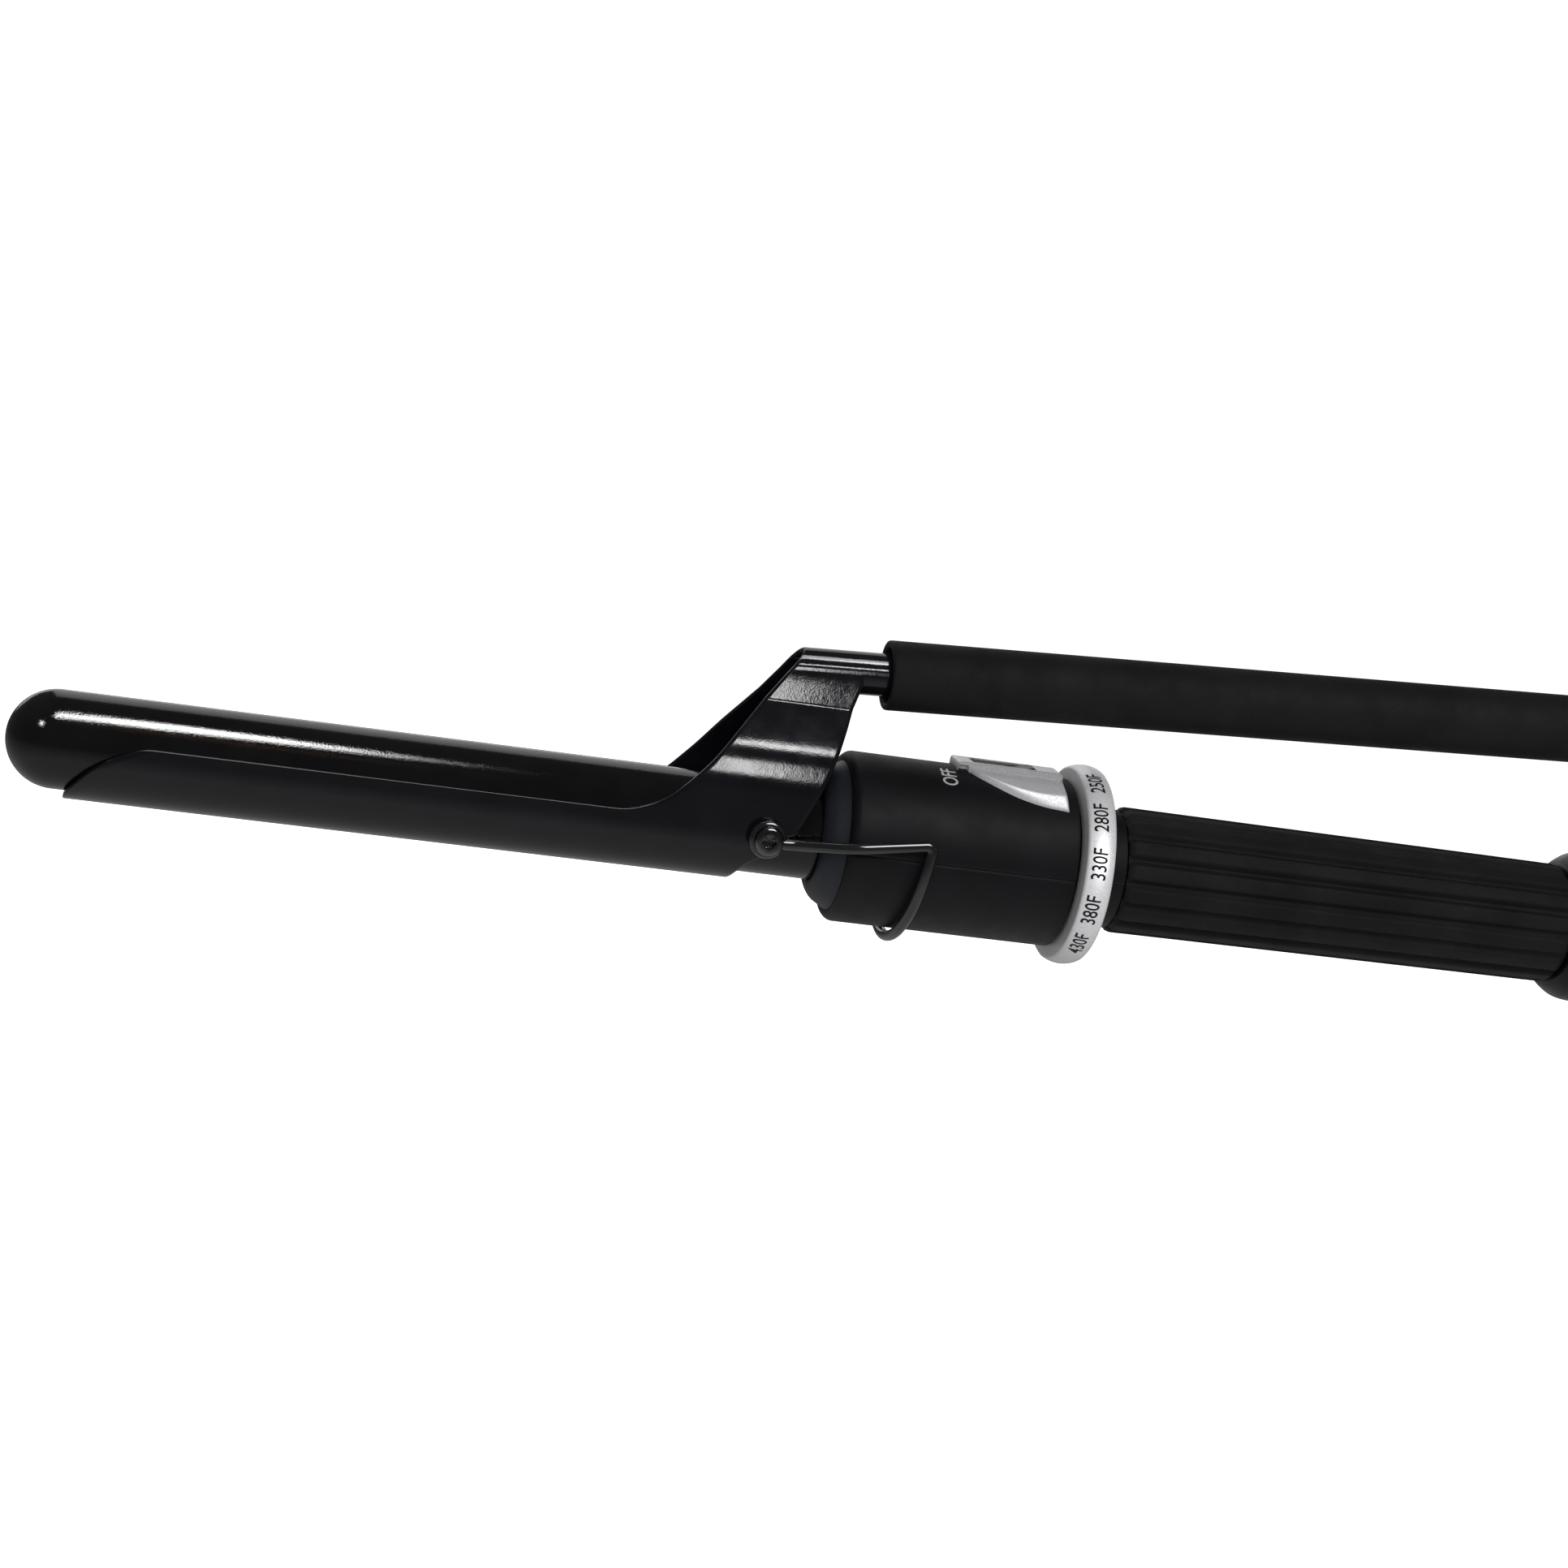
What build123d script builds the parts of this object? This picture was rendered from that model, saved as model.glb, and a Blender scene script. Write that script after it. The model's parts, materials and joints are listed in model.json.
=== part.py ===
from build123d import *
from math import cos, radians, sin, sqrt
import os

# Lever-type (Marcel) curling iron with a 19 mm barrel, in millimetres.
#
# Row frame: X runs from the barrel tip to the cord end, Y across, Z up to the lever. The origin is
# the centre of the bounding box's bottom face, so the barrel axis lies one dial radius above it.
#
# "Station" is a distance along the barrel axis from the clamp pivot, positive towards the handle.
# "Height" is measured from the barrel axis, positive towards the lever.

os.makedirs("parts", exist_ok=True)

# ---------------------------------------------------------------- driving dimensions
BARREL_R = 9.525            # 19.05 mm (3/4 in) barrel
BARREL_WALL = 1.0
TIP = -146.0                # station of the barrel tip
REAR = 204.0                # station of the cord outlet's end
DIAL_R = 20.5
HOUSING_R = 17.25
WALL = 2.2                  # housing wall
NECK_R = 12.2
CORE_R = 10.4               # handle tube that the lower grip turns on
RUNNING = 0.05              # radial clearance of a running fit
TOUCH_GAP = 0.35            # gap between pieces that move past each other

PIVOT_X = -(TIP + REAR) / 2
AXIS_Z = DIAL_R

# Stations along the handle
COLLAR_FRONT = 11.4
HOUSING_FRONT = 15.7
HOUSING_REAR = 62.2
DIAL_FRONT, DIAL_BACK = 63.0, 68.9
NECK_BACK = 74.0
GRIP_FRONT, GRIP_BACK = 74.4, 172.6
POMMEL_FRONT, POMMEL_BACK = 173.0, 198.0
CORE_FRONT, CORE_BACK = 68.5, 190.0

# Clamp sheet
SHEET = 1.0
TROUGH_R = BARREL_R + 0.525 + SHEET      # outside radius of the trough and half width of the ears
EDGE_HEIGHT = 2.0                        # the trough wraps a little more than half the barrel
TROUGH_FRONT, TROUGH_BACK = -134.0, -5.5
EAR_BEND_HEIGHT = 14.2
CREASE_HEIGHT = 26.3

# Lever: a tube and rod that rise slightly towards the rear
LEVER_TILT = 3.2
LEVER_HEIGHT = 32.3         # height of the lever axis above the pivot
LEVER_TUBE_R = 4.3
ROD_R = 3.2
TUBE_END = 23.5             # distances along the lever axis from above the pivot
UPPER_GRIP_FRONT, UPPER_GRIP_BACK = 21.0, 180.0
UPPER_GRIP_R = 7.0
UPPER_BORE_R = 5.0
ROD_END = 170.0

# Pivot stack, measured outwards from the centre plane
SCREW_SHOULDER_R = 1.55
SCREW_SHANK_R = 1.45
WASHER_FACE = TROUGH_R + 0.1
WASHER_THICK = 0.3
WIRE_R = 1.1
EYE_Y = WASHER_FACE + WASHER_THICK + 0.1 + WIRE_R
EYE_R = SCREW_SHOULDER_R + WIRE_R + 0.1
HEAD_FACE = EYE_Y + WIRE_R + 0.1
HEAD_R = 2.9
HEAD_THICK = 1.4

# Wire stand
LOOP_STATION = 31.2
LOOP_R = 19.0
LOOP_LEAN = 6.5             # the loop's bottom leans towards the barrel
LOOP_HEIGHT = 3.9
WIRE_BEND_R = 2.6
ARM_Y = EYE_Y + 0.2

# Switch
BEZEL_FRONT, BEZEL_BACK = 38.0, 59.8
PLATEAU_HEIGHT = 18.6
PLATEAU_WIDTH = 6.8
WINDOW_LENGTH, WINDOW_WIDTH = 13.6, 5.0
SWITCH_STATION = 48.0
ROCKER_TILT = 4.0
ROCKER_HEIGHT = 16.3

# Dial gearing: internal ring teeth and a pinion with half as many
GEAR_MODULE = 0.6
DIAL_TEETH, PINION_TEETH = 48, 24
DIAL_PITCH_R = GEAR_MODULE * DIAL_TEETH / 2
PINION_PITCH_R = GEAR_MODULE * PINION_TEETH / 2
PINION_DROP = DIAL_PITCH_R - PINION_PITCH_R
TOOTH_THICK = 0.76          # at the pitch circle
TOOTH_SLOPE = 0.364         # tangent of the 20 degree flank angle
DIAL_CAVITY_R = 15.4

# ---------------------------------------------------------------- planes and helpers
SIDE = Plane(origin=(PIVOT_X, 0, AXIS_Z), x_dir=(1, 0, 0), z_dir=(0, -1, 0))
TOP = Plane(origin=(PIVOT_X, 0, AXIS_Z), x_dir=(1, 0, 0), z_dir=(0, 0, 1))
MIDDLE = Plane.XZ
BARREL_AXIS = Axis((PIVOT_X, 0, AXIS_Z), (1, 0, 0))

LEVER_DIR = (cos(radians(LEVER_TILT)), 0, sin(radians(LEVER_TILT)))
LEVER_ORIGIN = (PIVOT_X, 0, AXIS_Z + LEVER_HEIGHT)
LEVER_SIDE = Plane(origin=LEVER_ORIGIN, x_dir=LEVER_DIR, z_dir=(0, -1, 0))
LEVER_AXIS = Axis(LEVER_ORIGIN, LEVER_DIR)


def across(station):
    """Plane square to the barrel axis: local x is +Y and local y is height."""
    return Plane(origin=(PIVOT_X + station, 0, AXIS_Z), x_dir=(0, 1, 0), z_dir=(1, 0, 0))


def across_lever(distance):
    """Plane square to the lever axis, at a distance along it."""
    origin = Vector(*LEVER_ORIGIN) + Vector(*LEVER_DIR) * distance
    return Plane(origin=origin, x_dir=(0, 1, 0), z_dir=LEVER_DIR)


def outline(plane, *points):
    """A straight-sided face on a plane."""
    with BuildSketch(plane) as face:
        with BuildLine():
            Polyline(*points, close=True)
        make_face()
    return face.sketch


def band(plane, front, back, inner, outer):
    """Rectangle from one station to another and from an inner to an outer radius."""
    return outline(plane, (front, inner), (back, inner), (back, outer), (front, outer))


def save(piece, name):
    piece.part.label = name
    export_step(piece.part, f"parts/{name}.step")


# ---------------------------------------------------------------- barrel and heater
bore_r = BARREL_R - BARREL_WALL
dome_centre = TIP + BARREL_R
BARREL_BACK = 24.0

with BuildPart() as barrel:
    with BuildSketch(SIDE):
        with BuildLine():
            CenterArc((dome_centre, 0), BARREL_R, 90, 90)
            Polyline((dome_centre, BARREL_R), (BARREL_BACK, BARREL_R), (BARREL_BACK, bore_r),
                     (dome_centre, bore_r))
            CenterArc((dome_centre, 0), bore_r, 90, 90)
            Line((TIP, 0), (TIP + BARREL_WALL, 0))
        make_face()
    revolve(axis=BARREL_AXIS)
    with BuildSketch(SIDE):
        Circle(SCREW_SHANK_R + 0.1)
    extrude(amount=BARREL_R + 1, both=True, mode=Mode.SUBTRACT)
save(barrel, "barrel")

PLATE_WIDTH, PLATE_THICK = 10.0, 2.4
PLATE_SET_BACK = 3.0        # the spreaders stand proud of the heater plate's front end
HEATER_FRONT, HEATER_BACK = -130.0, -20.0
with BuildPart() as heater_plate:
    with BuildSketch(across(HEATER_FRONT + PLATE_SET_BACK)):
        Rectangle(PLATE_WIDTH, PLATE_THICK)
    extrude(amount=HEATER_BACK - HEATER_FRONT - PLATE_SET_BACK)
save(heater_plate, "heater_plate")

with BuildPart() as heat_spreaders:
    with BuildSketch(across(HEATER_FRONT)):
        Circle(bore_r)
        Rectangle(3 * bore_r, PLATE_THICK, mode=Mode.SUBTRACT)
    extrude(amount=HEATER_BACK - HEATER_FRONT)
save(heat_spreaders, "heat_spreaders")

SENSOR_Y = 6.6              # the sensors lie either side of the heater plate
THERMISTOR_STATION, THERMISTOR_LENGTH, THERMISTOR_R = -62.0, 10.0, 1.1
with BuildPart() as thermistor:
    with BuildSketch(across(THERMISTOR_STATION)):
        with Locations((SENSOR_Y, 0)):
            Circle(THERMISTOR_R)
    extrude(amount=THERMISTOR_LENGTH)
    fillet(thermistor.faces().sort_by(Axis.X)[0].edges(), radius=THERMISTOR_R - 0.3)
save(thermistor, "thermistor")

FUSE_STATION, FUSE_LENGTH, FUSE_R = -45.0, 12.0, 1.15
with BuildPart() as thermal_fuse:
    with BuildSketch(across(FUSE_STATION)):
        with Locations((-SENSOR_Y, 0)):
            Circle(FUSE_R)
    extrude(amount=FUSE_LENGTH)
    chamfer(thermal_fuse.edges().filter_by(GeomType.CIRCLE), length=0.3)
save(thermal_fuse, "thermal_fuse")

BOARD_FRONT, BOARD_BACK = 27.0, 49.0
BOARD_BOTTOM, BOARD_TOP = 1.0, 2.6
HEATER_LEAD_R, HEATER_LEAD_Y = 0.7, 1.6
LEAD_HEIGHT = (BOARD_BOTTOM + BOARD_TOP) / 2 - 0.3
with BuildPart() as heater_leads:
    with BuildSketch(across(HEATER_BACK)):
        with Locations((-HEATER_LEAD_Y, LEAD_HEIGHT), (HEATER_LEAD_Y, LEAD_HEIGHT)):
            Circle(HEATER_LEAD_R)
    extrude(amount=BOARD_FRONT - HEATER_BACK)
save(heater_leads, "heater_leads")

BLOCK_BORE_R = 3.2
BLOCK_LENGTH = 12.0
with BuildPart() as pivot_block:
    with BuildSketch(across(-BLOCK_LENGTH / 2)):
        Circle(bore_r)
        Circle(BLOCK_BORE_R, mode=Mode.SUBTRACT)
    extrude(amount=BLOCK_LENGTH)
    with BuildSketch(SIDE):
        Circle(SCREW_SHANK_R)
    extrude(amount=BARREL_R, both=True, mode=Mode.SUBTRACT)
save(pivot_block, "pivot_block")

# ---------------------------------------------------------------- pivot screws and washers
SHANK_TIP = BLOCK_BORE_R + 0.4
DRIVE_R, DRIVE_LOBE_R, DRIVE_LOBES, DRIVE_DEPTH = 1.05, 0.32, 6, 0.9
with BuildPart() as pivot_screws:
    with BuildSketch(SIDE.offset(SHANK_TIP)):
        Circle(SCREW_SHANK_R)
    extrude(amount=BARREL_R - SHANK_TIP)
    with BuildSketch(SIDE.offset(BARREL_R)):
        Circle(SCREW_SHOULDER_R)
    extrude(amount=HEAD_FACE - BARREL_R)
    with BuildSketch(SIDE.offset(HEAD_FACE)):
        Circle(HEAD_R)
    extrude(amount=HEAD_THICK)
    fillet(pivot_screws.faces().sort_by(Axis.Y)[0].edges(), radius=0.9)
    with BuildSketch(SIDE.offset(HEAD_FACE + HEAD_THICK)):
        Circle(DRIVE_R)
        with PolarLocations(DRIVE_R, DRIVE_LOBES):
            Circle(DRIVE_LOBE_R)
    extrude(amount=-DRIVE_DEPTH, mode=Mode.SUBTRACT)
    mirror(about=MIDDLE)
save(pivot_screws, "pivot_screws")

with BuildPart() as wave_washers:
    with BuildSketch(SIDE.offset(WASHER_FACE)):
        Circle(HEAD_R + 0.4)
        Circle(SCREW_SHOULDER_R + 0.1, mode=Mode.SUBTRACT)
    extrude(amount=WASHER_THICK)
    mirror(about=MIDDLE)
save(wave_washers, "wave_washers")

# ---------------------------------------------------------------- clamp and lever
EDGE_FRONT, EDGE_BACK = -118.6, -30.0     # where the trough's straight edge starts and ends
TUBE_MOUTH = 15.6
MOUTH_HEIGHT = 28.4
ABOVE = LEVER_HEIGHT + 7.0                # clear of the lever tube's top
TUBE_FRONT = -12.0                        # ahead of the tube's slanted front end
with BuildSketch(SIDE) as clamp_side:
    with BuildLine():
        Spline((TROUGH_FRONT, -TROUGH_R), (-131.5, -6.0), (-126.5, -1.2), (EDGE_FRONT, EDGE_HEIGHT),
               tangents=((0, 1), (1, 0.05)))
        Line((EDGE_FRONT, EDGE_HEIGHT), (EDGE_BACK, EDGE_HEIGHT))
        Spline((EDGE_BACK, EDGE_HEIGHT), (-21.5, 4.6), (-14.5, 11.2), (-7.6, 20.4), (1.0, 32.4),
               (6.0, ABOVE), tangents=((1, 0), (0.56, 0.83)))
        Polyline((6.0, ABOVE), (TUBE_END + 3, ABOVE), (TUBE_END + 3, MOUTH_HEIGHT), (TUBE_MOUTH, MOUTH_HEIGHT),
                 (14.3, 27.2), (13.4, 23.0))
        Spline((13.4, 23.0), (11.0, 14.5), (7.4, 5.0), (5.6, 0.8), (3.6, -1.8), (1.0, -3.3),
               (-2.6, -5.6), (TROUGH_BACK, -TROUGH_R), tangents=((-0.25, -1), (-0.3, -1)))
        Line((TROUGH_BACK, -TROUGH_R), (TROUGH_FRONT, -TROUGH_R))
    make_face()

with BuildPart() as clamp:
    with BuildSketch(across(TROUGH_FRONT)):
        with BuildLine():
            CenterArc((0, 0), TROUGH_R, 180, 180)
            Polyline((-TROUGH_R, 0), (-TROUGH_R, EAR_BEND_HEIGHT), (-LEVER_TUBE_R, CREASE_HEIGHT),
                     (-LEVER_TUBE_R, LEVER_HEIGHT), (LEVER_TUBE_R, LEVER_HEIGHT),
                     (LEVER_TUBE_R, CREASE_HEIGHT), (TROUGH_R, EAR_BEND_HEIGHT), (TROUGH_R, 0))
        folds = make_face()
        fillet(folds.vertices().group_by(Axis.Y)[1], radius=6.0)
        fillet(folds.vertices().group_by(Axis.Y)[-2], radius=1.5)
        offset(amount=-SHEET, kind=Kind.INTERSECTION, mode=Mode.SUBTRACT)
    extrude(amount=TUBE_MOUTH - TROUGH_FRONT)
    with BuildSketch(across_lever(TUBE_FRONT)):
        Circle(LEVER_TUBE_R)
    extrude(amount=TUBE_END - TUBE_FRONT)
    extrude(clamp_side.sketch, amount=TROUGH_R + 1, both=True, mode=Mode.INTERSECT)
    with BuildSketch(across_lever(TUBE_FRONT)):
        Circle(ROD_R)
    extrude(amount=TUBE_END - TUBE_FRONT + 1, mode=Mode.SUBTRACT)
    with BuildSketch(SIDE):
        Circle(SCREW_SHOULDER_R + RUNNING)
    extrude(amount=TROUGH_R + 1, both=True, mode=Mode.SUBTRACT)
save(clamp, "clamp")

ROD_START = 6.0
STUD_R, STUD_LENGTH = 2.0, 5.0
with BuildPart() as lever_rod:
    with BuildSketch(across_lever(ROD_START)):
        Circle(ROD_R)
    extrude(amount=ROD_END - ROD_START)
    with BuildSketch(across_lever(ROD_END)):
        Circle(STUD_R)
    extrude(amount=STUD_LENGTH)
save(lever_rod, "lever_rod")

ROD_WASHER_THICK = 1.0
with BuildPart() as rod_washer:
    with BuildSketch(across_lever(ROD_END)):
        Circle(UPPER_BORE_R - 0.5)
        Circle(STUD_R, mode=Mode.SUBTRACT)
    extrude(amount=ROD_WASHER_THICK)
save(rod_washer, "rod_washer")

NUT_CORNER_R, NUT_THICK = 3.9, 3.0
with BuildPart() as rod_nut:
    with BuildSketch(across_lever(ROD_END + ROD_WASHER_THICK)):
        RegularPolygon(NUT_CORNER_R, 6)
        Circle(STUD_R, mode=Mode.SUBTRACT)
    extrude(amount=NUT_THICK)
save(rod_nut, "rod_nut")

RECESS_R, RECESS_DEPTH = UPPER_BORE_R + 0.6, 4.0     # the lever tube's end sits in the sleeve's mouth
with BuildPart() as upper_grip:
    revolve(outline(LEVER_SIDE,
                    (UPPER_GRIP_FRONT, RECESS_R), (UPPER_GRIP_FRONT + RECESS_DEPTH, RECESS_R),
                    (UPPER_GRIP_FRONT + RECESS_DEPTH, UPPER_BORE_R), (UPPER_GRIP_BACK, UPPER_BORE_R),
                    (UPPER_GRIP_BACK, UPPER_GRIP_R), (UPPER_GRIP_FRONT, UPPER_GRIP_R)),
            axis=LEVER_AXIS)
    front_edges = upper_grip.edges().filter_by(GeomType.CIRCLE).group_by(Axis.X)[0]
    fillet(front_edges.sort_by(SortBy.RADIUS)[-1], radius=1.1)
save(upper_grip, "upper_grip")

UPPER_BUSH_LENGTH = 8.5
with BuildPart() as upper_grip_bushes:
    for start in (UPPER_GRIP_FRONT + RECESS_DEPTH + 1, ROD_END - UPPER_BUSH_LENGTH - 0.5):
        with BuildSketch(across_lever(start)):
            Circle(UPPER_BORE_R)
            Circle(ROD_R + RUNNING, mode=Mode.SUBTRACT)
        extrude(amount=UPPER_BUSH_LENGTH)
save(upper_grip_bushes, "upper_grip_bushes")

CAP_DOME = 6.0
CAP_SPIGOT = 3.5
dome_start = UPPER_GRIP_BACK + 1
with BuildPart() as upper_grip_cap:
    with BuildSketch(LEVER_SIDE):
        with BuildLine():
            Polyline((UPPER_GRIP_BACK, 0), (UPPER_GRIP_BACK - CAP_SPIGOT, 0),
                     (UPPER_GRIP_BACK - CAP_SPIGOT, UPPER_BORE_R), (UPPER_GRIP_BACK, UPPER_BORE_R),
                     (UPPER_GRIP_BACK, UPPER_GRIP_R), (dome_start, UPPER_GRIP_R))
            Spline((dome_start, UPPER_GRIP_R), (dome_start + 0.7 * CAP_DOME, 0.7 * UPPER_GRIP_R),
                   (dome_start + CAP_DOME, 0), tangents=((1, 0), (0, -1)))
            Line((dome_start + CAP_DOME, 0), (UPPER_GRIP_BACK, 0))
        make_face()
    revolve(axis=LEVER_AXIS)
save(upper_grip_cap, "upper_grip_cap")

# ---------------------------------------------------------------- wire stand
lean_x, lean_z = sin(radians(LOOP_LEAN)), cos(radians(LOOP_LEAN))
loop_top = Vector(PIVOT_X + LOOP_STATION, -LOOP_R, AXIS_Z)
half_turn = sqrt(0.5)
with BuildPart() as stand_wire:
    with BuildLine() as arm:
        FilletPolyline((PIVOT_X + HEAD_R + 0.25, -ARM_Y, AXIS_Z - 0.6),
                       (PIVOT_X + HEAD_R + 3.4, -ARM_Y, AXIS_Z - 0.4),
                       (PIVOT_X + HEAD_R + 13.0, -LOOP_R, AXIS_Z + 1.4),
                       loop_top + Vector(lean_x, 0, lean_z) * LOOP_HEIGHT,
                       loop_top,
                       radius=WIRE_BEND_R)
        ThreePointArc(loop_top,
                      loop_top + Vector(-lean_x * half_turn, 1 - half_turn, -lean_z * half_turn) * LOOP_R,
                      loop_top + Vector(-lean_x, 1, -lean_z) * LOOP_R)
    with BuildSketch(Plane(origin=arm.line @ 0, z_dir=arm.line % 0)):
        Circle(WIRE_R)
    sweep(path=arm.line)
    with Locations((PIVOT_X, -EYE_Y, AXIS_Z)):
        Torus(EYE_R, WIRE_R, rotation=(90, 0, 0))
    mirror(about=MIDDLE)
save(stand_wire, "stand_wire")

# ---------------------------------------------------------------- collar, insulator and housing
housing_bore = HOUSING_R - WALL
barrel_hole = BARREL_R + 0.075

with BuildPart() as front_collar:
    with BuildSketch(SIDE):
        with BuildLine():
            ThreePointArc((COLLAR_FRONT, barrel_hole + 0.3), (COLLAR_FRONT + 1.4, 13.2),
                          (HOUSING_FRONT, housing_bore))
            Polyline((HOUSING_FRONT, housing_bore), (HOUSING_FRONT, barrel_hole),
                     (COLLAR_FRONT, barrel_hole), (COLLAR_FRONT, barrel_hole + 0.3))
        make_face()
    revolve(axis=BARREL_AXIS)
save(front_collar, "front_collar")

with BuildPart() as ceramic_insulator:
    revolve(band(SIDE, HOUSING_FRONT, BARREL_BACK + 2, barrel_hole, housing_bore), axis=BARREL_AXIS)
save(ceramic_insulator, "ceramic_insulator")

FRONT_RADIUS = 1.8
with BuildSketch(SIDE) as housing_profile:
    with BuildLine():
        RadiusArc((HOUSING_FRONT, housing_bore), (HOUSING_FRONT + FRONT_RADIUS, HOUSING_R), FRONT_RADIUS)
        Polyline((HOUSING_FRONT + FRONT_RADIUS, HOUSING_R), (HOUSING_REAR, HOUSING_R),
                 (HOUSING_REAR, NECK_R), (NECK_BACK, NECK_R), (NECK_BACK, CORE_R),
                 (HOUSING_REAR - WALL, CORE_R), (HOUSING_REAR - WALL, housing_bore),
                 (HOUSING_FRONT, housing_bore))
    make_face()

SCREW_STATIONS = (30.0, 55.0)
SCREW_SPREAD = 11.0
BOSS_R = 2.4
BOSS_HEIGHT = 9.5
SMALL_SCREW_R = 1.2
SMALL_HEAD_R = 2.0
SMALL_HEAD_HEIGHT = 1.6
SEAT_HEIGHT = BOSS_HEIGHT - 2.0           # below the parting plane, where the heads sit
screw_places = [(station, SCREW_SPREAD) for station in SCREW_STATIONS]

with BuildPart() as housing_upper:
    revolve(housing_profile.sketch, axis=BARREL_AXIS)
    split(bisect_by=TOP, keep=Keep.TOP)
    with BuildSketch(TOP):
        with Locations(*screw_places):
            Circle(BOSS_R)
    extrude(amount=BOSS_HEIGHT)
    with BuildSketch(TOP):
        with Locations(*screw_places):
            Circle(SMALL_SCREW_R)
    extrude(amount=SEAT_HEIGHT, mode=Mode.SUBTRACT)
    with BuildSketch(TOP.offset(housing_bore - 3)):
        with Locations((SWITCH_STATION, 0)):
            Rectangle(WINDOW_LENGTH, WINDOW_WIDTH + 2)
    extrude(amount=10, mode=Mode.SUBTRACT)
save(housing_upper, "housing_upper")

PINION_FRONT, PINION_BACK = 64.6, 66.8
with BuildPart() as housing_lower:
    revolve(housing_profile.sketch, axis=BARREL_AXIS)
    split(bisect_by=TOP, keep=Keep.BOTTOM)
    with BuildSketch(TOP):
        with Locations(*screw_places):
            Circle(BOSS_R)
    extrude(amount=-BOSS_HEIGHT)
    with BuildSketch(TOP):
        with Locations(*screw_places):
            Circle(SMALL_SCREW_R)
    extrude(amount=-HOUSING_R, mode=Mode.SUBTRACT)
    with BuildSketch(TOP.offset(-SEAT_HEIGHT)):
        with Locations(*screw_places):
            Circle(SMALL_HEAD_R + 0.1)
    extrude(amount=-HOUSING_R, mode=Mode.SUBTRACT)
    with BuildSketch(across(PINION_FRONT - TOUCH_GAP)):
        with Locations((0, -PINION_DROP)):
            Circle(PINION_PITCH_R + GEAR_MODULE + TOUCH_GAP)
    extrude(amount=PINION_BACK - PINION_FRONT + 2 * TOUCH_GAP, mode=Mode.SUBTRACT)
save(housing_lower, "housing_lower")

with BuildPart() as housing_screws:
    with BuildSketch(TOP.offset(-SEAT_HEIGHT)):
        with Locations(*screw_places):
            Circle(SMALL_SCREW_R)
    extrude(amount=2 * SEAT_HEIGHT - 1)
    with BuildSketch(TOP.offset(-SEAT_HEIGHT)):
        with Locations(*screw_places):
            Circle(SMALL_HEAD_R)
            Circle(0.7, mode=Mode.SUBTRACT)
    extrude(amount=-SMALL_HEAD_HEIGHT)
save(housing_screws, "housing_screws")

# ---------------------------------------------------------------- power switch
BEZEL_TIP = 2.4             # half widths of the bezel's front and rear ends
BEZEL_HALF_WIDTH = 11.7
BEZEL_SKIN = 0.7
with BuildPart() as switch_bezel:
    with BuildSketch(TOP.offset(5)):
        with BuildLine():
            Spline((BEZEL_FRONT, BEZEL_TIP), (40.5, 4.4), (43.6, 6.6), (48.6, 9.2), (53.5, 10.8),
                   (BEZEL_BACK, BEZEL_HALF_WIDTH))
            Polyline((BEZEL_BACK, BEZEL_HALF_WIDTH), (BEZEL_BACK, 0), (BEZEL_FRONT, 0),
                     (BEZEL_FRONT, BEZEL_TIP))
        make_face()
        mirror(about=Plane.XZ)
    extrude(amount=PLATEAU_HEIGHT)
    revolve(band(SIDE, BEZEL_FRONT - 1, BEZEL_BACK + 1, 0, HOUSING_R + BEZEL_SKIN), axis=BARREL_AXIS,
            mode=Mode.INTERSECT)
    with BuildSketch(TOP.offset(PLATEAU_HEIGHT)):
        with Locations(((BEZEL_FRONT + BEZEL_BACK) / 2, 0)):
            Rectangle(BEZEL_BACK - BEZEL_FRONT, PLATEAU_WIDTH)
    extrude(amount=-4)
    revolve(band(SIDE, BEZEL_FRONT - 1, BEZEL_BACK + 1, 0, HOUSING_R), axis=BARREL_AXIS,
            mode=Mode.SUBTRACT)
    with BuildSketch(TOP):
        with Locations((SWITCH_STATION, 0)):
            Rectangle(WINDOW_LENGTH, WINDOW_WIDTH)
    extrude(amount=30, mode=Mode.SUBTRACT)
save(switch_bezel, "switch_bezel")

SWITCH_TOP = 15.4
SWITCH_DEPTH = 8.0
TAB_PITCH, TAB_LENGTH = 4.0, 2.5
with BuildPart() as switch_body:
    with BuildSketch(TOP.offset(SWITCH_TOP)):
        with Locations((SWITCH_STATION, 0)):
            Rectangle(WINDOW_LENGTH, WINDOW_WIDTH + 2)
    extrude(amount=-SWITCH_DEPTH)
    for tab in (-TAB_PITCH, 0, TAB_PITCH):
        with BuildSketch(TOP.offset(SWITCH_TOP - SWITCH_DEPTH)):
            with Locations((SWITCH_STATION + tab, 0)):
                Rectangle(0.8, 3.2)
        extrude(amount=-TAB_LENGTH)
save(switch_body, "switch_body")

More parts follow.
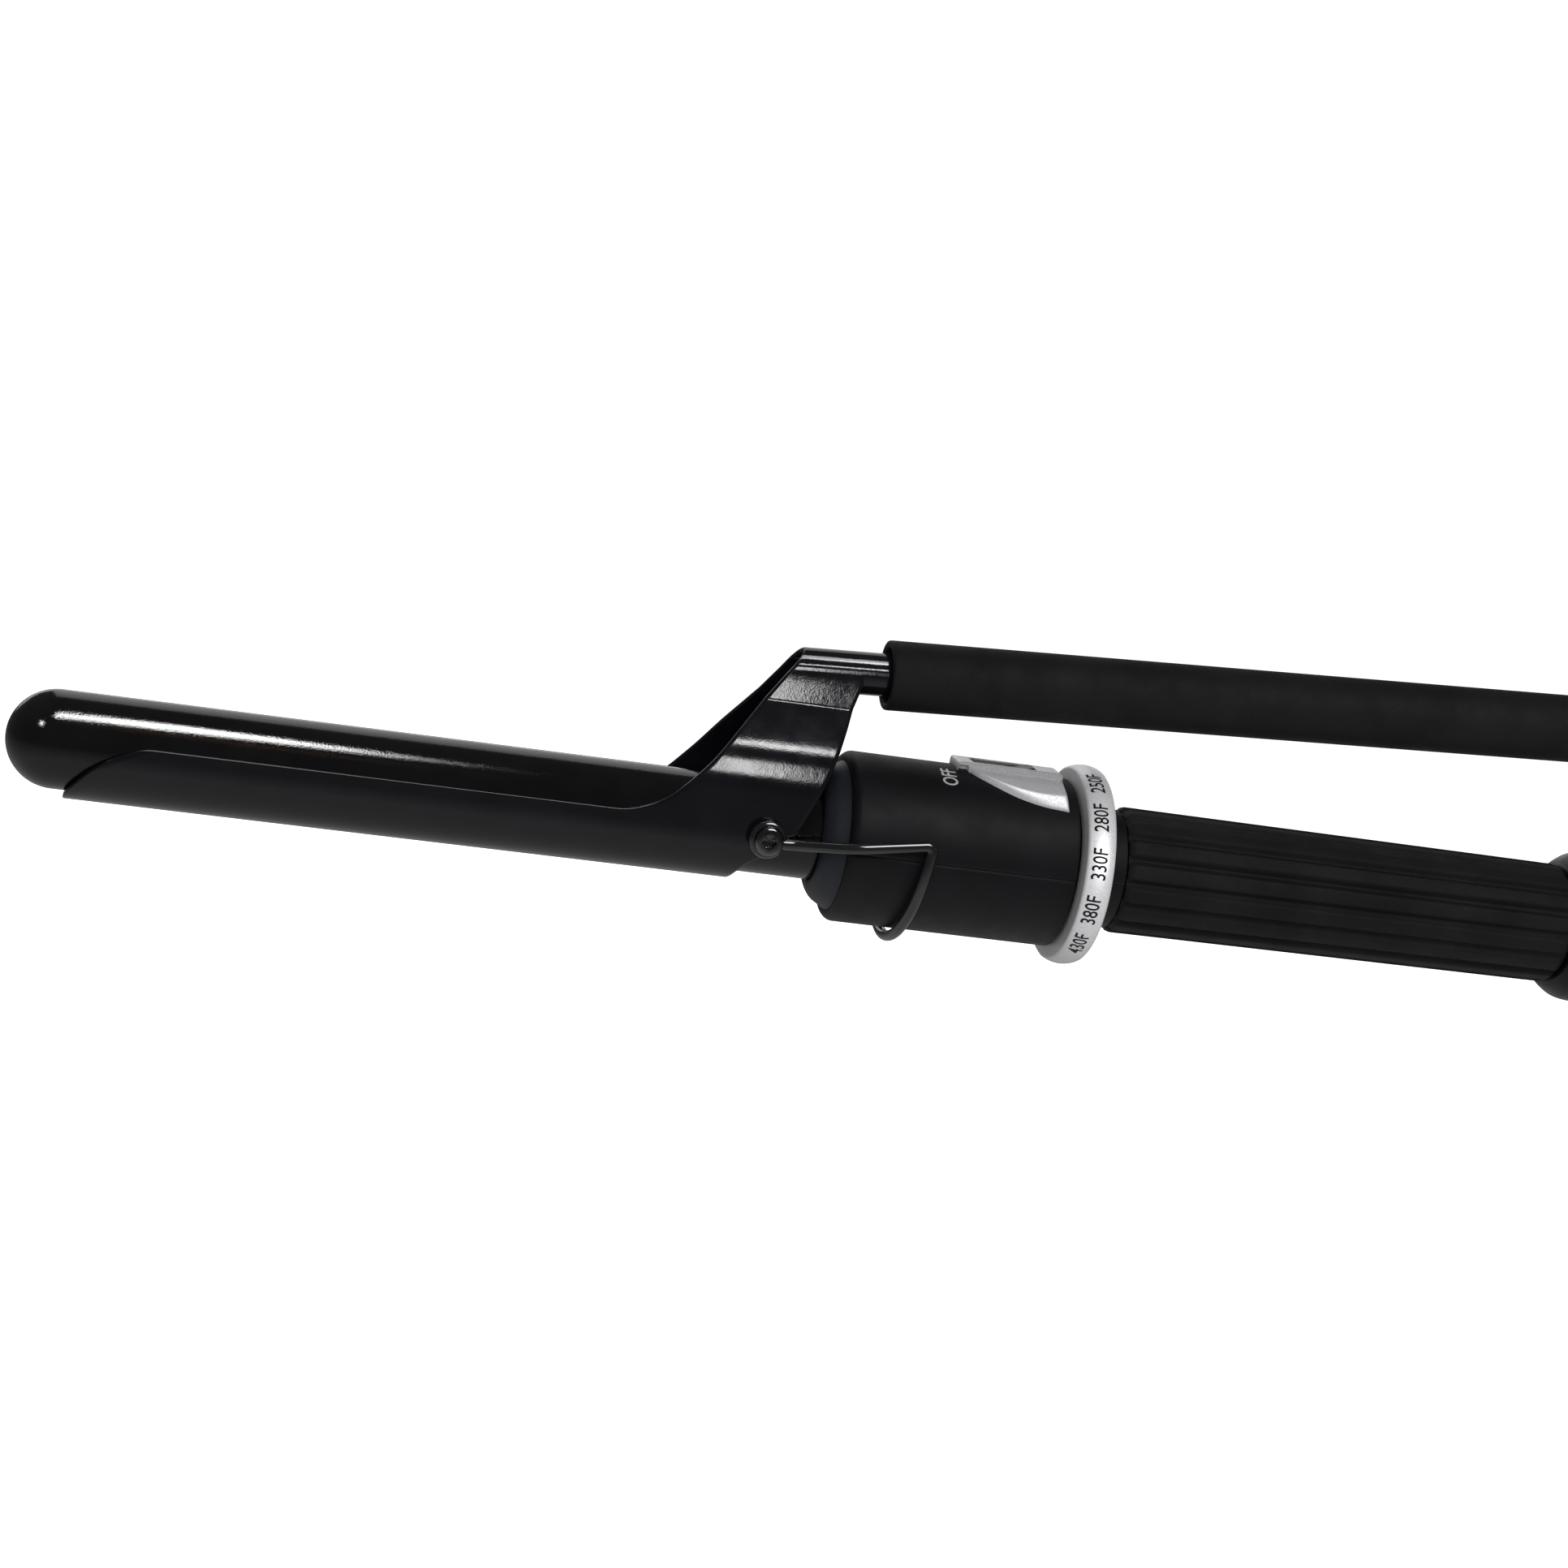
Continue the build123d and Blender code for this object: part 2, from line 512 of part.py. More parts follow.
rocker_plane = Plane(origin=(PIVOT_X + SWITCH_STATION, 0, AXIS_Z + ROCKER_HEIGHT),
                     x_dir=(cos(radians(ROCKER_TILT)), 0, sin(radians(ROCKER_TILT))),
                     z_dir=(0, -1, 0))
ROCKER_HALF = 6.2
ROCKER_TOP, ROCKER_DISH = 2.3, 0.6        # above the rocker's own axis
KEEL_HALF, KEEL_BOTTOM, SKIRT_BOTTOM = 1.2, -0.4, 0.6
with BuildPart() as power_rocker:
    with BuildSketch(rocker_plane):
        with BuildLine():
            ThreePointArc((-ROCKER_HALF, ROCKER_TOP), (0, ROCKER_TOP - ROCKER_DISH), (ROCKER_HALF, ROCKER_TOP))
            Polyline((ROCKER_HALF, ROCKER_TOP), (ROCKER_HALF, SKIRT_BOTTOM), (KEEL_HALF, KEEL_BOTTOM),
                     (-KEEL_HALF, KEEL_BOTTOM), (-ROCKER_HALF, SKIRT_BOTTOM), (-ROCKER_HALF, ROCKER_TOP))
        make_face()
    extrude(amount=WINDOW_WIDTH / 2 - TOUCH_GAP, both=True)
    chamfer(power_rocker.edges().group_by(Axis.Z)[-1], length=0.25)
save(power_rocker, "power_rocker")

# ---------------------------------------------------------------- temperature dial and its gearing


def tooth_half_width(from_pitch):
    """Half thickness of a tooth, a radial distance above (+) or below (-) the pitch circle."""
    return TOOTH_THICK / 2 - TOOTH_SLOPE * from_pitch


LAND = 1.4
DIAL_EDGE_R = 19.6          # the band is crowned between its two edges
with BuildPart() as dial_ring:
    with BuildSketch(SIDE):
        with BuildLine():
            Polyline((DIAL_BACK, DIAL_EDGE_R), (DIAL_BACK, NECK_R + RUNNING),
                     (DIAL_BACK - LAND, NECK_R + RUNNING),
                     (DIAL_BACK - LAND, DIAL_CAVITY_R), (DIAL_FRONT, DIAL_CAVITY_R), (DIAL_FRONT, DIAL_EDGE_R))
            ThreePointArc((DIAL_FRONT, DIAL_EDGE_R), ((DIAL_FRONT + DIAL_BACK) / 2, DIAL_R),
                          (DIAL_BACK, DIAL_EDGE_R))
        make_face()
    revolve(axis=BARREL_AXIS)
    with BuildSketch(across(PINION_FRONT - 0.2)):
        with PolarLocations(0, DIAL_TEETH, start_angle=-90 + 180 / DIAL_TEETH):
            tip_r = DIAL_PITCH_R - 0.85 * GEAR_MODULE
            root_r = DIAL_CAVITY_R + 0.2
            Polygon((tip_r, tooth_half_width(DIAL_PITCH_R - tip_r)),
                    (tip_r, -tooth_half_width(DIAL_PITCH_R - tip_r)),
                    (root_r, -tooth_half_width(DIAL_PITCH_R - root_r)),
                    (root_r, tooth_half_width(DIAL_PITCH_R - root_r)), align=None)
    extrude(amount=DIAL_BACK - LAND - PINION_FRONT + 0.2)
save(dial_ring, "dial_ring")

POT_FRONT, POT_BACK = 50.0, 58.4
POT_R = 6.0
SHAFT_R = 1.5
SHAFT_START, SHAFT_END = POT_BACK - 3.0, PINION_BACK + 0.8
with BuildPart() as pot_pinion:
    with BuildSketch(across(PINION_FRONT)):
        root_r = PINION_PITCH_R - 1.1 * GEAR_MODULE
        tip_r = PINION_PITCH_R + 0.85 * GEAR_MODULE
        with Locations((0, -PINION_DROP)):
            Circle(root_r)
        with Locations((0, -PINION_DROP)):
            with PolarLocations(0, PINION_TEETH, start_angle=-90):
                Polygon((root_r - 0.3, tooth_half_width(root_r - PINION_PITCH_R)),
                        (root_r - 0.3, -tooth_half_width(root_r - PINION_PITCH_R)),
                        (tip_r, -tooth_half_width(tip_r - PINION_PITCH_R)),
                        (tip_r, tooth_half_width(tip_r - PINION_PITCH_R)), align=None)
    extrude(amount=PINION_BACK - PINION_FRONT)
    with BuildSketch(across(SHAFT_START)):
        with Locations((0, -PINION_DROP)):
            Circle(SHAFT_R)
    extrude(amount=SHAFT_END - SHAFT_START)
save(pot_pinion, "pot_pinion")

with BuildPart() as potentiometer:
    with BuildSketch(across(POT_FRONT)):
        with Locations((0, -PINION_DROP)):
            Circle(POT_R)
    extrude(amount=POT_BACK - POT_FRONT)
    with BuildSketch(across(POT_BACK)):
        with Locations((0, -PINION_DROP)):
            Circle(SHAFT_R + RUNNING)
    extrude(amount=-4, mode=Mode.SUBTRACT)
save(potentiometer, "potentiometer")

# ---------------------------------------------------------------- circuit board
BOARD_WIDTH = 15.6
with BuildPart() as circuit_board:
    with BuildSketch(TOP.offset(BOARD_BOTTOM)):
        with Locations(((BOARD_FRONT + BOARD_BACK) / 2, 0)):
            RectangleRounded(BOARD_BACK - BOARD_FRONT, BOARD_WIDTH, 0.8)
    extrude(amount=BOARD_TOP - BOARD_BOTTOM)
save(circuit_board, "circuit_board")

TRIAC_STATION, TRIAC_SIZE = 31.0, (4.5, 10.0, 9.0)
with BuildPart() as triac:
    with BuildSketch(TOP.offset(BOARD_TOP)):
        with Locations((TRIAC_STATION, 0)):
            Rectangle(TRIAC_SIZE[0], TRIAC_SIZE[1])
    extrude(amount=TRIAC_SIZE[2])
    chamfer(triac.edges().filter_by(Axis.Z), length=0.5)
save(triac, "triac")

CAPACITOR_STATION, CAPACITOR_R, CAPACITOR_HEIGHT = 38.5, 3.2, 4.4
with BuildPart() as capacitor:
    with BuildSketch(TOP.offset(BOARD_TOP)):
        with Locations((CAPACITOR_STATION, 0)):
            Circle(CAPACITOR_R)
    extrude(amount=CAPACITOR_HEIGHT)
    fillet(capacitor.faces().sort_by(Axis.Z)[-1].edges(), radius=0.5)
save(capacitor, "capacitor")

# ---------------------------------------------------------------- handle
CORE_WALL = 1.8
core_bore = CORE_R - CORE_WALL
with BuildPart() as handle_core:
    revolve(band(SIDE, CORE_FRONT, CORE_BACK, core_bore, CORE_R), axis=BARREL_AXIS)
save(handle_core, "handle_core")

GRIP_R_FRONT, GRIP_R_BACK = 12.95, 12.55
GRIP_BORE_R = 11.3
GRIP_BEVEL = 1.0
FLUTES = 16
FLUTE_R, FLUTE_OFFSET = 1.3, 0.3
with BuildPart() as lower_grip:
    revolve(outline(SIDE, (GRIP_FRONT, GRIP_BORE_R), (GRIP_BACK, GRIP_BORE_R),
                    (GRIP_BACK, GRIP_R_BACK - GRIP_BEVEL), (GRIP_BACK - GRIP_BEVEL, GRIP_R_BACK),
                    (GRIP_FRONT + GRIP_BEVEL, GRIP_R_FRONT), (GRIP_FRONT, GRIP_R_FRONT - GRIP_BEVEL)),
            axis=BARREL_AXIS)
    with BuildSketch(across(GRIP_FRONT)):
        with PolarLocations(GRIP_R_FRONT + FLUTE_OFFSET, FLUTES, start_angle=180 / FLUTES):
            Circle(FLUTE_R)
    extrude(amount=GRIP_BACK - GRIP_FRONT, mode=Mode.SUBTRACT)
save(lower_grip, "lower_grip")

LOWER_BUSH_LENGTH, LOWER_BUSH_INSET = 6.0, 0.4
with BuildPart() as lower_grip_bushes:
    for start in (GRIP_FRONT + LOWER_BUSH_INSET, GRIP_BACK - LOWER_BUSH_INSET - LOWER_BUSH_LENGTH):
        with BuildSketch(across(start)):
            Circle(GRIP_BORE_R)
            Circle(CORE_R + RUNNING, mode=Mode.SUBTRACT)
        extrude(amount=LOWER_BUSH_LENGTH)
save(lower_grip_bushes, "lower_grip_bushes")

POMMEL_R = 16.0
POMMEL_BULGE = POMMEL_FRONT + 8.5
POMMEL_FRONT_R, POMMEL_REAR_R = 12.6, 10.8
POMMEL_CHAMFER = 1.0
OUTLET_R = 7.2
pommel_edge = POMMEL_BACK - POMMEL_CHAMFER
with BuildPart() as pommel:
    with BuildSketch(SIDE):
        with BuildLine():
            ThreePointArc((POMMEL_FRONT, POMMEL_FRONT_R), (POMMEL_FRONT + 2.4, 15.0), (POMMEL_BULGE, POMMEL_R))
            Spline((POMMEL_BULGE, POMMEL_R), (POMMEL_BULGE + 9, 14.6), (pommel_edge, POMMEL_REAR_R),
                   tangents=((1, 0), (1, -0.9)))
            Polyline((pommel_edge, POMMEL_REAR_R), (POMMEL_BACK, POMMEL_REAR_R - POMMEL_CHAMFER),
                     (POMMEL_BACK, OUTLET_R), (CORE_BACK, OUTLET_R), (CORE_BACK, CORE_R),
                     (POMMEL_FRONT, CORE_R), (POMMEL_FRONT, POMMEL_FRONT_R))
        make_face()
    revolve(axis=BARREL_AXIS)
save(pommel, "pommel")

# ---------------------------------------------------------------- cord swivel
CORD_HOLE_R = 3.2
STEM_R = 4.5
STEM_FRONT = 176.0
NOZZLE_FRONT, NOZZLE_END_R = POMMEL_BACK + 0.4, 6.2
NECK_OF_OUTLET_R = OUTLET_R - 0.08
FLANGE_R = core_bore - 0.4                # the flange behind the core's end keeps the outlet in
FLANGE_FRONT, FLANGE_BACK = CORE_BACK - 2.4, CORE_BACK - 0.4
with BuildPart() as swivel_outlet:
    revolve(outline(SIDE, (STEM_FRONT, CORD_HOLE_R), (REAR, CORD_HOLE_R), (REAR, NOZZLE_END_R - 1.0),
                    (REAR - 1.2, NOZZLE_END_R), (NOZZLE_FRONT, OUTLET_R - 0.2),
                    (NOZZLE_FRONT, NECK_OF_OUTLET_R),
                    (FLANGE_BACK, NECK_OF_OUTLET_R), (FLANGE_BACK, FLANGE_R), (FLANGE_FRONT, FLANGE_R),
                    (FLANGE_FRONT, STEM_R), (STEM_FRONT, STEM_R)),
            axis=BARREL_AXIS)
save(swivel_outlet, "swivel_outlet")

SLIP_RING_R, SLIP_RING_WIDTH = 5.2, 2.0
SLIP_STATIONS = (178.0, 183.0)
with BuildPart() as slip_rings:
    for station in SLIP_STATIONS:
        with BuildSketch(across(station)):
            Circle(SLIP_RING_R)
            Circle(STEM_R, mode=Mode.SUBTRACT)
        extrude(amount=SLIP_RING_WIDTH)
save(slip_rings, "slip_rings")

CARRIER_FRONT, CARRIER_BACK = 168.0, 174.0
FINGER_WIDTH, FINGER_THICK = 3.0, 0.4
FINGER_HEIGHT = SLIP_RING_R + 0.5
with BuildPart() as contact_carrier:
    with BuildSketch(across(CARRIER_FRONT)):
        Circle(core_bore)
    extrude(amount=CARRIER_BACK - CARRIER_FRONT)
save(contact_carrier, "contact_carrier")

with BuildPart() as contact_fingers:
    with BuildSketch(across(CARRIER_BACK)):
        with Locations((0, FINGER_HEIGHT)):
            Rectangle(FINGER_WIDTH, FINGER_THICK)
    extrude(amount=SLIP_STATIONS[0] + SLIP_RING_WIDTH - CARRIER_BACK)
    with BuildSketch(across(CARRIER_BACK)):
        with Locations((0, -FINGER_HEIGHT)):
            Rectangle(FINGER_WIDTH, FINGER_THICK)
    extrude(amount=SLIP_STATIONS[1] + SLIP_RING_WIDTH - CARRIER_BACK)
save(contact_fingers, "contact_fingers")

LEAD_R, LEAD_Y = 1.0, 3.0
LEAD_FRONT = BOARD_BACK - 3.0
with BuildPart() as mains_leads:
    with BuildSketch(across(LEAD_FRONT)):
        with Locations((-LEAD_Y, BOARD_TOP + LEAD_R), (LEAD_Y, BOARD_TOP + LEAD_R)):
            Circle(LEAD_R)
    extrude(amount=CARRIER_FRONT - LEAD_FRONT)
save(mains_leads, "mains_leads")
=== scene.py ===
import json
from math import cos, degrees, pi, radians, sin, sqrt, tan

import bmesh
import bpy
import numpy as np
from mathutils import Matrix, Vector

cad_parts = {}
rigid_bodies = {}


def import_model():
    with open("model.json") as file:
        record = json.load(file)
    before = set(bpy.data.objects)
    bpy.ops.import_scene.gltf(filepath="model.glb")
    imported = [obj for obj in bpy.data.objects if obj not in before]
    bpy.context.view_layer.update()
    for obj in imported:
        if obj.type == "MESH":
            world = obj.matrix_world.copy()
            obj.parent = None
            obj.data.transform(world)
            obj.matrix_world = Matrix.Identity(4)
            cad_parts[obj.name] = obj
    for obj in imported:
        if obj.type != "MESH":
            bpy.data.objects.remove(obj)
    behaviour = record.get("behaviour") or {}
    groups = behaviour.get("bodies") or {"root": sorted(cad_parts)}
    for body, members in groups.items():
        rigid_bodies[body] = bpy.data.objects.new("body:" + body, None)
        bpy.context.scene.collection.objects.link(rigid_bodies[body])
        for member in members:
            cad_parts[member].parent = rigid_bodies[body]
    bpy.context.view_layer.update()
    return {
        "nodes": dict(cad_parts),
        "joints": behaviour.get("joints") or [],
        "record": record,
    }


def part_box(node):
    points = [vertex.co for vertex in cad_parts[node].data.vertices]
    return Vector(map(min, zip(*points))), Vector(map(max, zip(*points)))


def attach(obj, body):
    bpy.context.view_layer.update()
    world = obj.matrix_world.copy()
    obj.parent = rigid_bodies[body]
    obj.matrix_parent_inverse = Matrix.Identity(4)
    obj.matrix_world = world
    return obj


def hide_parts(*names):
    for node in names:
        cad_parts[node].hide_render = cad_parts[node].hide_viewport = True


for default in list(bpy.data.objects):
    bpy.data.objects.remove(default)
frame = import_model()

# Lever-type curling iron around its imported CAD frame. Helpers take millimetres. A "station" is a
# distance along the barrel axis from the clamp pivot, positive towards the handle, and a "height"
# is measured from the barrel axis, positive towards the lever.
MM = 0.001
joints = {joint["name"]: joint for joint in frame["joints"]}
PIVOT = Vector(joints["clamp_hinge"]["pos_m"])
LEVER_START = Vector(joints["upper_grip_spin"]["pos_m"])
LEVER_DIR = Vector(joints["upper_grip_spin"]["axis"]).normalized()
LEVER_UP = Vector((-LEVER_DIR.z, 0, LEVER_DIR.x))


def place(station, y, height):
    return PIVOT + Vector((station, y, height)) * MM


def on_lever(distance, y, height):
    return LEVER_START + (LEVER_DIR * distance + Vector((0, y, 0)) + LEVER_UP * height) * MM


def stations(node):
    """First and last station of a CAD node."""
    low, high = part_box(node)
    return (low[0] - PIVOT.x) / MM, (high[0] - PIVOT.x) / MM


def radius(node):
    """Outer radius of a CAD node that is round about the barrel axis."""
    low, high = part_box(node)
    return (high[1] - low[1]) / 2 / MM


BARREL_R = radius("barrel")
BARREL_TIP, BARREL_BACK = stations("barrel")
SHEET = 1.0
TROUGH_R = radius("clamp")
LEVER_HEIGHT = (LEVER_START.z - PIVOT.z) / MM
LEVER_SLOPE = LEVER_DIR.z / LEVER_DIR.x
LEVER_TUBE_R = 4.3
HOUSING_R = radius("housing_lower")
HOUSING_BORE = radius("ceramic_insulator")
HOUSING_FRONT, NECK_BACK = stations("housing_lower")
NECK_R = 12.2
CORE_R = radius("handle_core")
DIAL_R = radius("dial_ring")
DIAL_FRONT, DIAL_BACK = stations("dial_ring")
HOUSING_REAR = DIAL_FRONT - 0.8

# ---------------------------------------------------------------- camera
FOCAL_PIXELS = 3460
IMAGE_PIXELS = 1932
SENSOR = 36.0


def build_camera(azimuth, elevation, roll, distance, target):
    """A camera looking at target, azimuth 0 looking along +Y, with all angles in degrees."""
    a, e, r = radians(azimuth), radians(elevation), radians(roll)
    back = Vector((sin(a) * cos(e), -cos(a) * cos(e), sin(e)))
    right = Vector((cos(a), sin(a), 0))
    up = back.cross(right)
    rolled_right = right * cos(r) + up * sin(r)
    rolled_up = up * cos(r) - right * sin(r)
    camera = bpy.data.objects.new("camera", bpy.data.cameras.new("camera"))
    bpy.context.collection.objects.link(camera)
    turn = Matrix((rolled_right, rolled_up, back)).transposed().to_4x4()
    camera.matrix_world = Matrix.Translation(target + back * distance * MM) @ turn
    camera.data.sensor_width = SENSOR
    camera.data.lens = FOCAL_PIXELS / IMAGE_PIXELS * SENSOR
    camera.data.clip_start = 0.01
    bpy.context.scene.camera = camera


build_camera(azimuth=-12, elevation=10.3, roll=9.4, distance=560, target=place(4.1, 0, 9.0))


# ---------------------------------------------------------------- materials
RANGE_SOCKETS = ("From Min", "From Max", "To Min", "To Max")


class Finish:
    """A procedural material on a Principled shader, with its patterns in object coordinates."""

    def __init__(self, name, **sockets):
        self.material = bpy.data.materials.new(name)
        self.material.use_nodes = True
        self.nodes = self.material.node_tree.nodes
        self.links = self.material.node_tree.links
        self.shader = self.nodes["Principled BSDF"]
        self.coordinates = self.nodes.new("ShaderNodeTexCoord").outputs["Object"]
        self.bump_chain = None
        for socket, value in sockets.items():
            self.shader.inputs[socket.replace("_", " ")].default_value = value

    def stretched(self, scale):
        mapping = self.nodes.new("ShaderNodeMapping")
        mapping.inputs["Scale"].default_value = scale
        self.links.new(self.coordinates, mapping.inputs["Vector"])
        return mapping.outputs["Vector"]

    def noise(self, size, detail=3.0, rough=0.5, stretch=None):
        """Noise with features about size millimetres across."""
        texture = self.nodes.new("ShaderNodeTexNoise")
        texture.inputs["Scale"].default_value = 1 / (size * MM)
        texture.inputs["Detail"].default_value = detail
        texture.inputs["Roughness"].default_value = rough
        self.links.new(self.stretched(stretch) if stretch else self.coordinates, texture.inputs["Vector"])
        return texture.outputs["Fac"]

    def grains(self, size):
        """Rounded cells about size millimetres across, bright at their borders."""
        texture = self.nodes.new("ShaderNodeTexVoronoi")
        texture.inputs["Scale"].default_value = 1 / (size * MM)
        self.links.new(self.coordinates, texture.inputs["Vector"])
        return texture.outputs["Distance"]

    def remap(self, value, low, high, to_low, to_high):
        node = self.nodes.new("ShaderNodeMapRange")
        for socket, number in zip(RANGE_SOCKETS, (low, high, to_low, to_high)):
            node.inputs[socket].default_value = number
        self.links.new(value, node.inputs["Value"])
        return node.outputs["Result"]

    def colour(self, factor, first, second):
        mix = self.nodes.new("ShaderNodeMix")
        mix.data_type = "RGBA"
        mix.inputs["A"].default_value = (*first, 1)
        mix.inputs["B"].default_value = (*second, 1)
        self.links.new(factor, mix.inputs["Factor"])
        self.links.new(mix.outputs["Result"], self.shader.inputs["Base Color"])

    def roughness(self, value):
        self.links.new(value, self.shader.inputs["Roughness"])

    def bump(self, height, depth, strength=1.0):
        """Adds height times depth millimetres of relief on top of any earlier relief."""
        node = self.nodes.new("ShaderNodeBump")
        node.inputs["Distance"].default_value = depth * MM
        node.inputs["Strength"].default_value = strength
        self.links.new(height, node.inputs["Height"])
        if self.bump_chain:
            self.links.new(self.bump_chain, node.inputs["Normal"])
        self.bump_chain = node.outputs["Normal"]
        self.links.new(self.bump_chain, self.shader.inputs["Normal"])


def gloss_coat(name, tint, orange_peel, roughness, sparkle=0.0015, specular=0.5, metallic=0.0):
    """Gloss black coat: faint orange peel, a fine sparkle and small changes of gloss."""
    finish = Finish(name, Specular_IOR_Level=specular, Metallic=metallic)
    finish.colour(finish.remap(finish.noise(9), 0.35, 0.65, 0, 1), tint, [1.6 * part for part in tint])
    finish.roughness(finish.remap(finish.noise(4, 5), 0.3, 0.7, *roughness))
    finish.bump(finish.noise(1.3, 2), orange_peel)
    finish.bump(finish.noise(0.3, 2), sparkle)
    return finish.material


def matte_moulding(name, dark, light, roughness, grain, relief):
    """Moulded plastic or rubber: an even spark-eroded grain and faint handling marks."""
    finish = Finish(name, Specular_IOR_Level=0.35)
    finish.colour(finish.remap(finish.noise(14, 4), 0.35, 0.65, 0, 1), dark, light)
    finish.roughness(finish.remap(finish.noise(6, 5, 0.6), 0.3, 0.7, *roughness))
    finish.bump(finish.noise(grain, 3, 0.6), relief)
    return finish.material


def silver_paint(name):
    """Satin silver paint: fine metal flake in two tones and a slight orange peel."""
    finish = Finish(name, Metallic=0.45, Specular_IOR_Level=0.5, Coat_Weight=0.15, Coat_Roughness=0.25)
    flake = finish.grains(0.22)
    finish.colour(finish.remap(flake, 0.1, 0.7, 0, 1), (0.88, 0.88, 0.89), (0.66, 0.66, 0.68))
    finish.roughness(finish.remap(finish.noise(0.4, 4), 0.3, 0.7, 0.34, 0.52))
    finish.bump(finish.noise(0.25, 2), 0.006)
    return finish.material


def plain_metal(name, light, dark, along, roughness):
    """Bare metal with fine lines along one direction."""
    finish = Finish(name, Metallic=1.0)
    lines = finish.noise(0.5, 4, 0.6, along)
    finish.colour(finish.remap(lines, 0.3, 0.7, 0, 1), dark, light)
    finish.roughness(finish.remap(finish.noise(3, 4), 0.3, 0.7, *roughness))
    finish.bump(lines, 0.004)
    return finish.material


def mottled(name, light, dark, size, roughness, relief=0.01):
    """A dielectric in two close tones with a fine relief."""
    finish = Finish(name)
    finish.colour(finish.remap(finish.noise(size, 4), 0.35, 0.65, 0, 1), dark, light)
    finish.roughness(finish.remap(finish.noise(size * 2), 0.3, 0.7, *roughness))
    finish.bump(finish.noise(size * 0.2, 2), relief)
    return finish.material


def ink(name, tone, fleck):
    """Pad-printed ink, slightly uneven."""
    finish = Finish(name, Specular_IOR_Level=0.3)
    finish.colour(finish.remap(finish.noise(0.3, 4), 0.4, 0.7, 0, 1), tone, fleck)
    finish.roughness(finish.remap(finish.noise(0.6), 0.3, 0.7, 0.45, 0.6))
    finish.bump(finish.noise(0.12, 2), 0.002)
    return finish.material


finishes = {
    "ceramic_coat": gloss_coat("ceramic_coat", (0.0022, 0.0022, 0.0025), 0.006, (0.04, 0.08), 0.022),
    "clamp_enamel": gloss_coat("clamp_enamel", (0.003, 0.003, 0.0045), 0.010, (0.07, 0.13), 0.009),
    "wire_enamel": gloss_coat("wire_enamel", (0.006, 0.006, 0.007), 0.004, (0.08, 0.14), specular=1.0),
    "black_screw": gloss_coat("black_screw", (0.12, 0.12, 0.125), 0.003, (0.08, 0.14), metallic=1.0),
    "switch_black": gloss_coat("switch_black", (0.003, 0.003, 0.0035), 0.004, (0.28, 0.4), specular=0.3),
    "component_black": gloss_coat("component_black", (0.01, 0.01, 0.01), 0.004, (0.25, 0.4)),
    "soft_touch": matte_moulding("soft_touch", (0.006, 0.006, 0.0065), (0.010, 0.010, 0.011),
                                 (0.62, 0.78), 0.22, 0.03),
    "housing_plastic": matte_moulding("housing_plastic", (0.0035, 0.0035, 0.0045), (0.005, 0.005, 0.007),
                                      (0.48, 0.60), 0.16, 0.012),
    "collar_plastic": matte_moulding("collar_plastic", (0.016, 0.018, 0.024), (0.022, 0.025, 0.032),
                                     (0.42, 0.55), 0.16, 0.014),
    "silver_paint": silver_paint("silver_paint"),
    "steel": plain_metal("steel", (0.62, 0.62, 0.62), (0.45, 0.45, 0.46), (0.1, 1, 1), (0.25, 0.4)),
    "aluminium_parts": plain_metal("aluminium_parts", (0.8, 0.8, 0.81), (0.6, 0.6, 0.62), (0.05, 1, 1),
                                   (0.3, 0.45)),
    "brass_parts": plain_metal("brass_parts", (0.85, 0.63, 0.28), (0.6, 0.42, 0.17), (0.2, 1, 1),
                               (0.2, 0.35)),
    "white_ceramic": mottled("white_ceramic", (0.82, 0.80, 0.75), (0.68, 0.65, 0.6), 1.5, (0.4, 0.6)),
    "wire_jacket": mottled("wire_jacket", (0.7, 0.66, 0.58), (0.55, 0.5, 0.43), 0.8, (0.5, 0.7), 0.03),
    "lead_jacket": mottled("lead_jacket", (0.03, 0.03, 0.03), (0.018, 0.018, 0.018), 1.0, (0.35, 0.5)),
    "board_green": mottled("board_green", (0.04, 0.2, 0.09), (0.02, 0.13, 0.06), 1.2, (0.25, 0.4)),
    "nylon": mottled("nylon", (0.78, 0.75, 0.68), (0.66, 0.62, 0.55), 2.0, (0.35, 0.5)),
}
WHITE_INK = ink("white_ink", (0.82, 0.82, 0.82), (0.62, 0.62, 0.62))
BLACK_INK = ink("black_ink", (0.008, 0.008, 0.008), (0.03, 0.03, 0.03))

node_slots = {part["node"]: part["material_slot"] for part in frame["record"]["subparts"]}
node_bodies = {node: body
               for body, nodes in frame["record"]["behaviour"]["bodies"].items()
               for node in nodes}
for node, slot in node_slots.items():
    frame["nodes"][node].data.materials.clear()
    frame["nodes"][node].data.materials.append(finishes[slot])


# ---------------------------------------------------------------- mesh helpers
SHARP = 35.0


def link(name, mesh, material):
    mesh.materials.clear()
    mesh.materials.append(material)
    piece = bpy.data.objects.new(name, mesh)
    bpy.context.collection.objects.link(piece)
    return piece


def smooth_by_angle(mesh, limit=SHARP):
    """Smooth shading that breaks where two faces meet at more than limit degrees."""
    work = bmesh.new()
    work.from_mesh(mesh)
    bmesh.ops.recalc_face_normals(work, faces=work.faces)
    for face in work.faces:
        face.smooth = True
    for edge in work.edges:
        edge.smooth = len(edge.link_faces) == 2 and degrees(edge.calc_face_angle(0)) < limit
    work.to_mesh(mesh)
    work.free()


def stand_for(piece, node):
    """piece is shown instead of a CAD node: the node is hidden and piece joins the same body."""
    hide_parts(node)
    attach(piece, node_bodies[node])


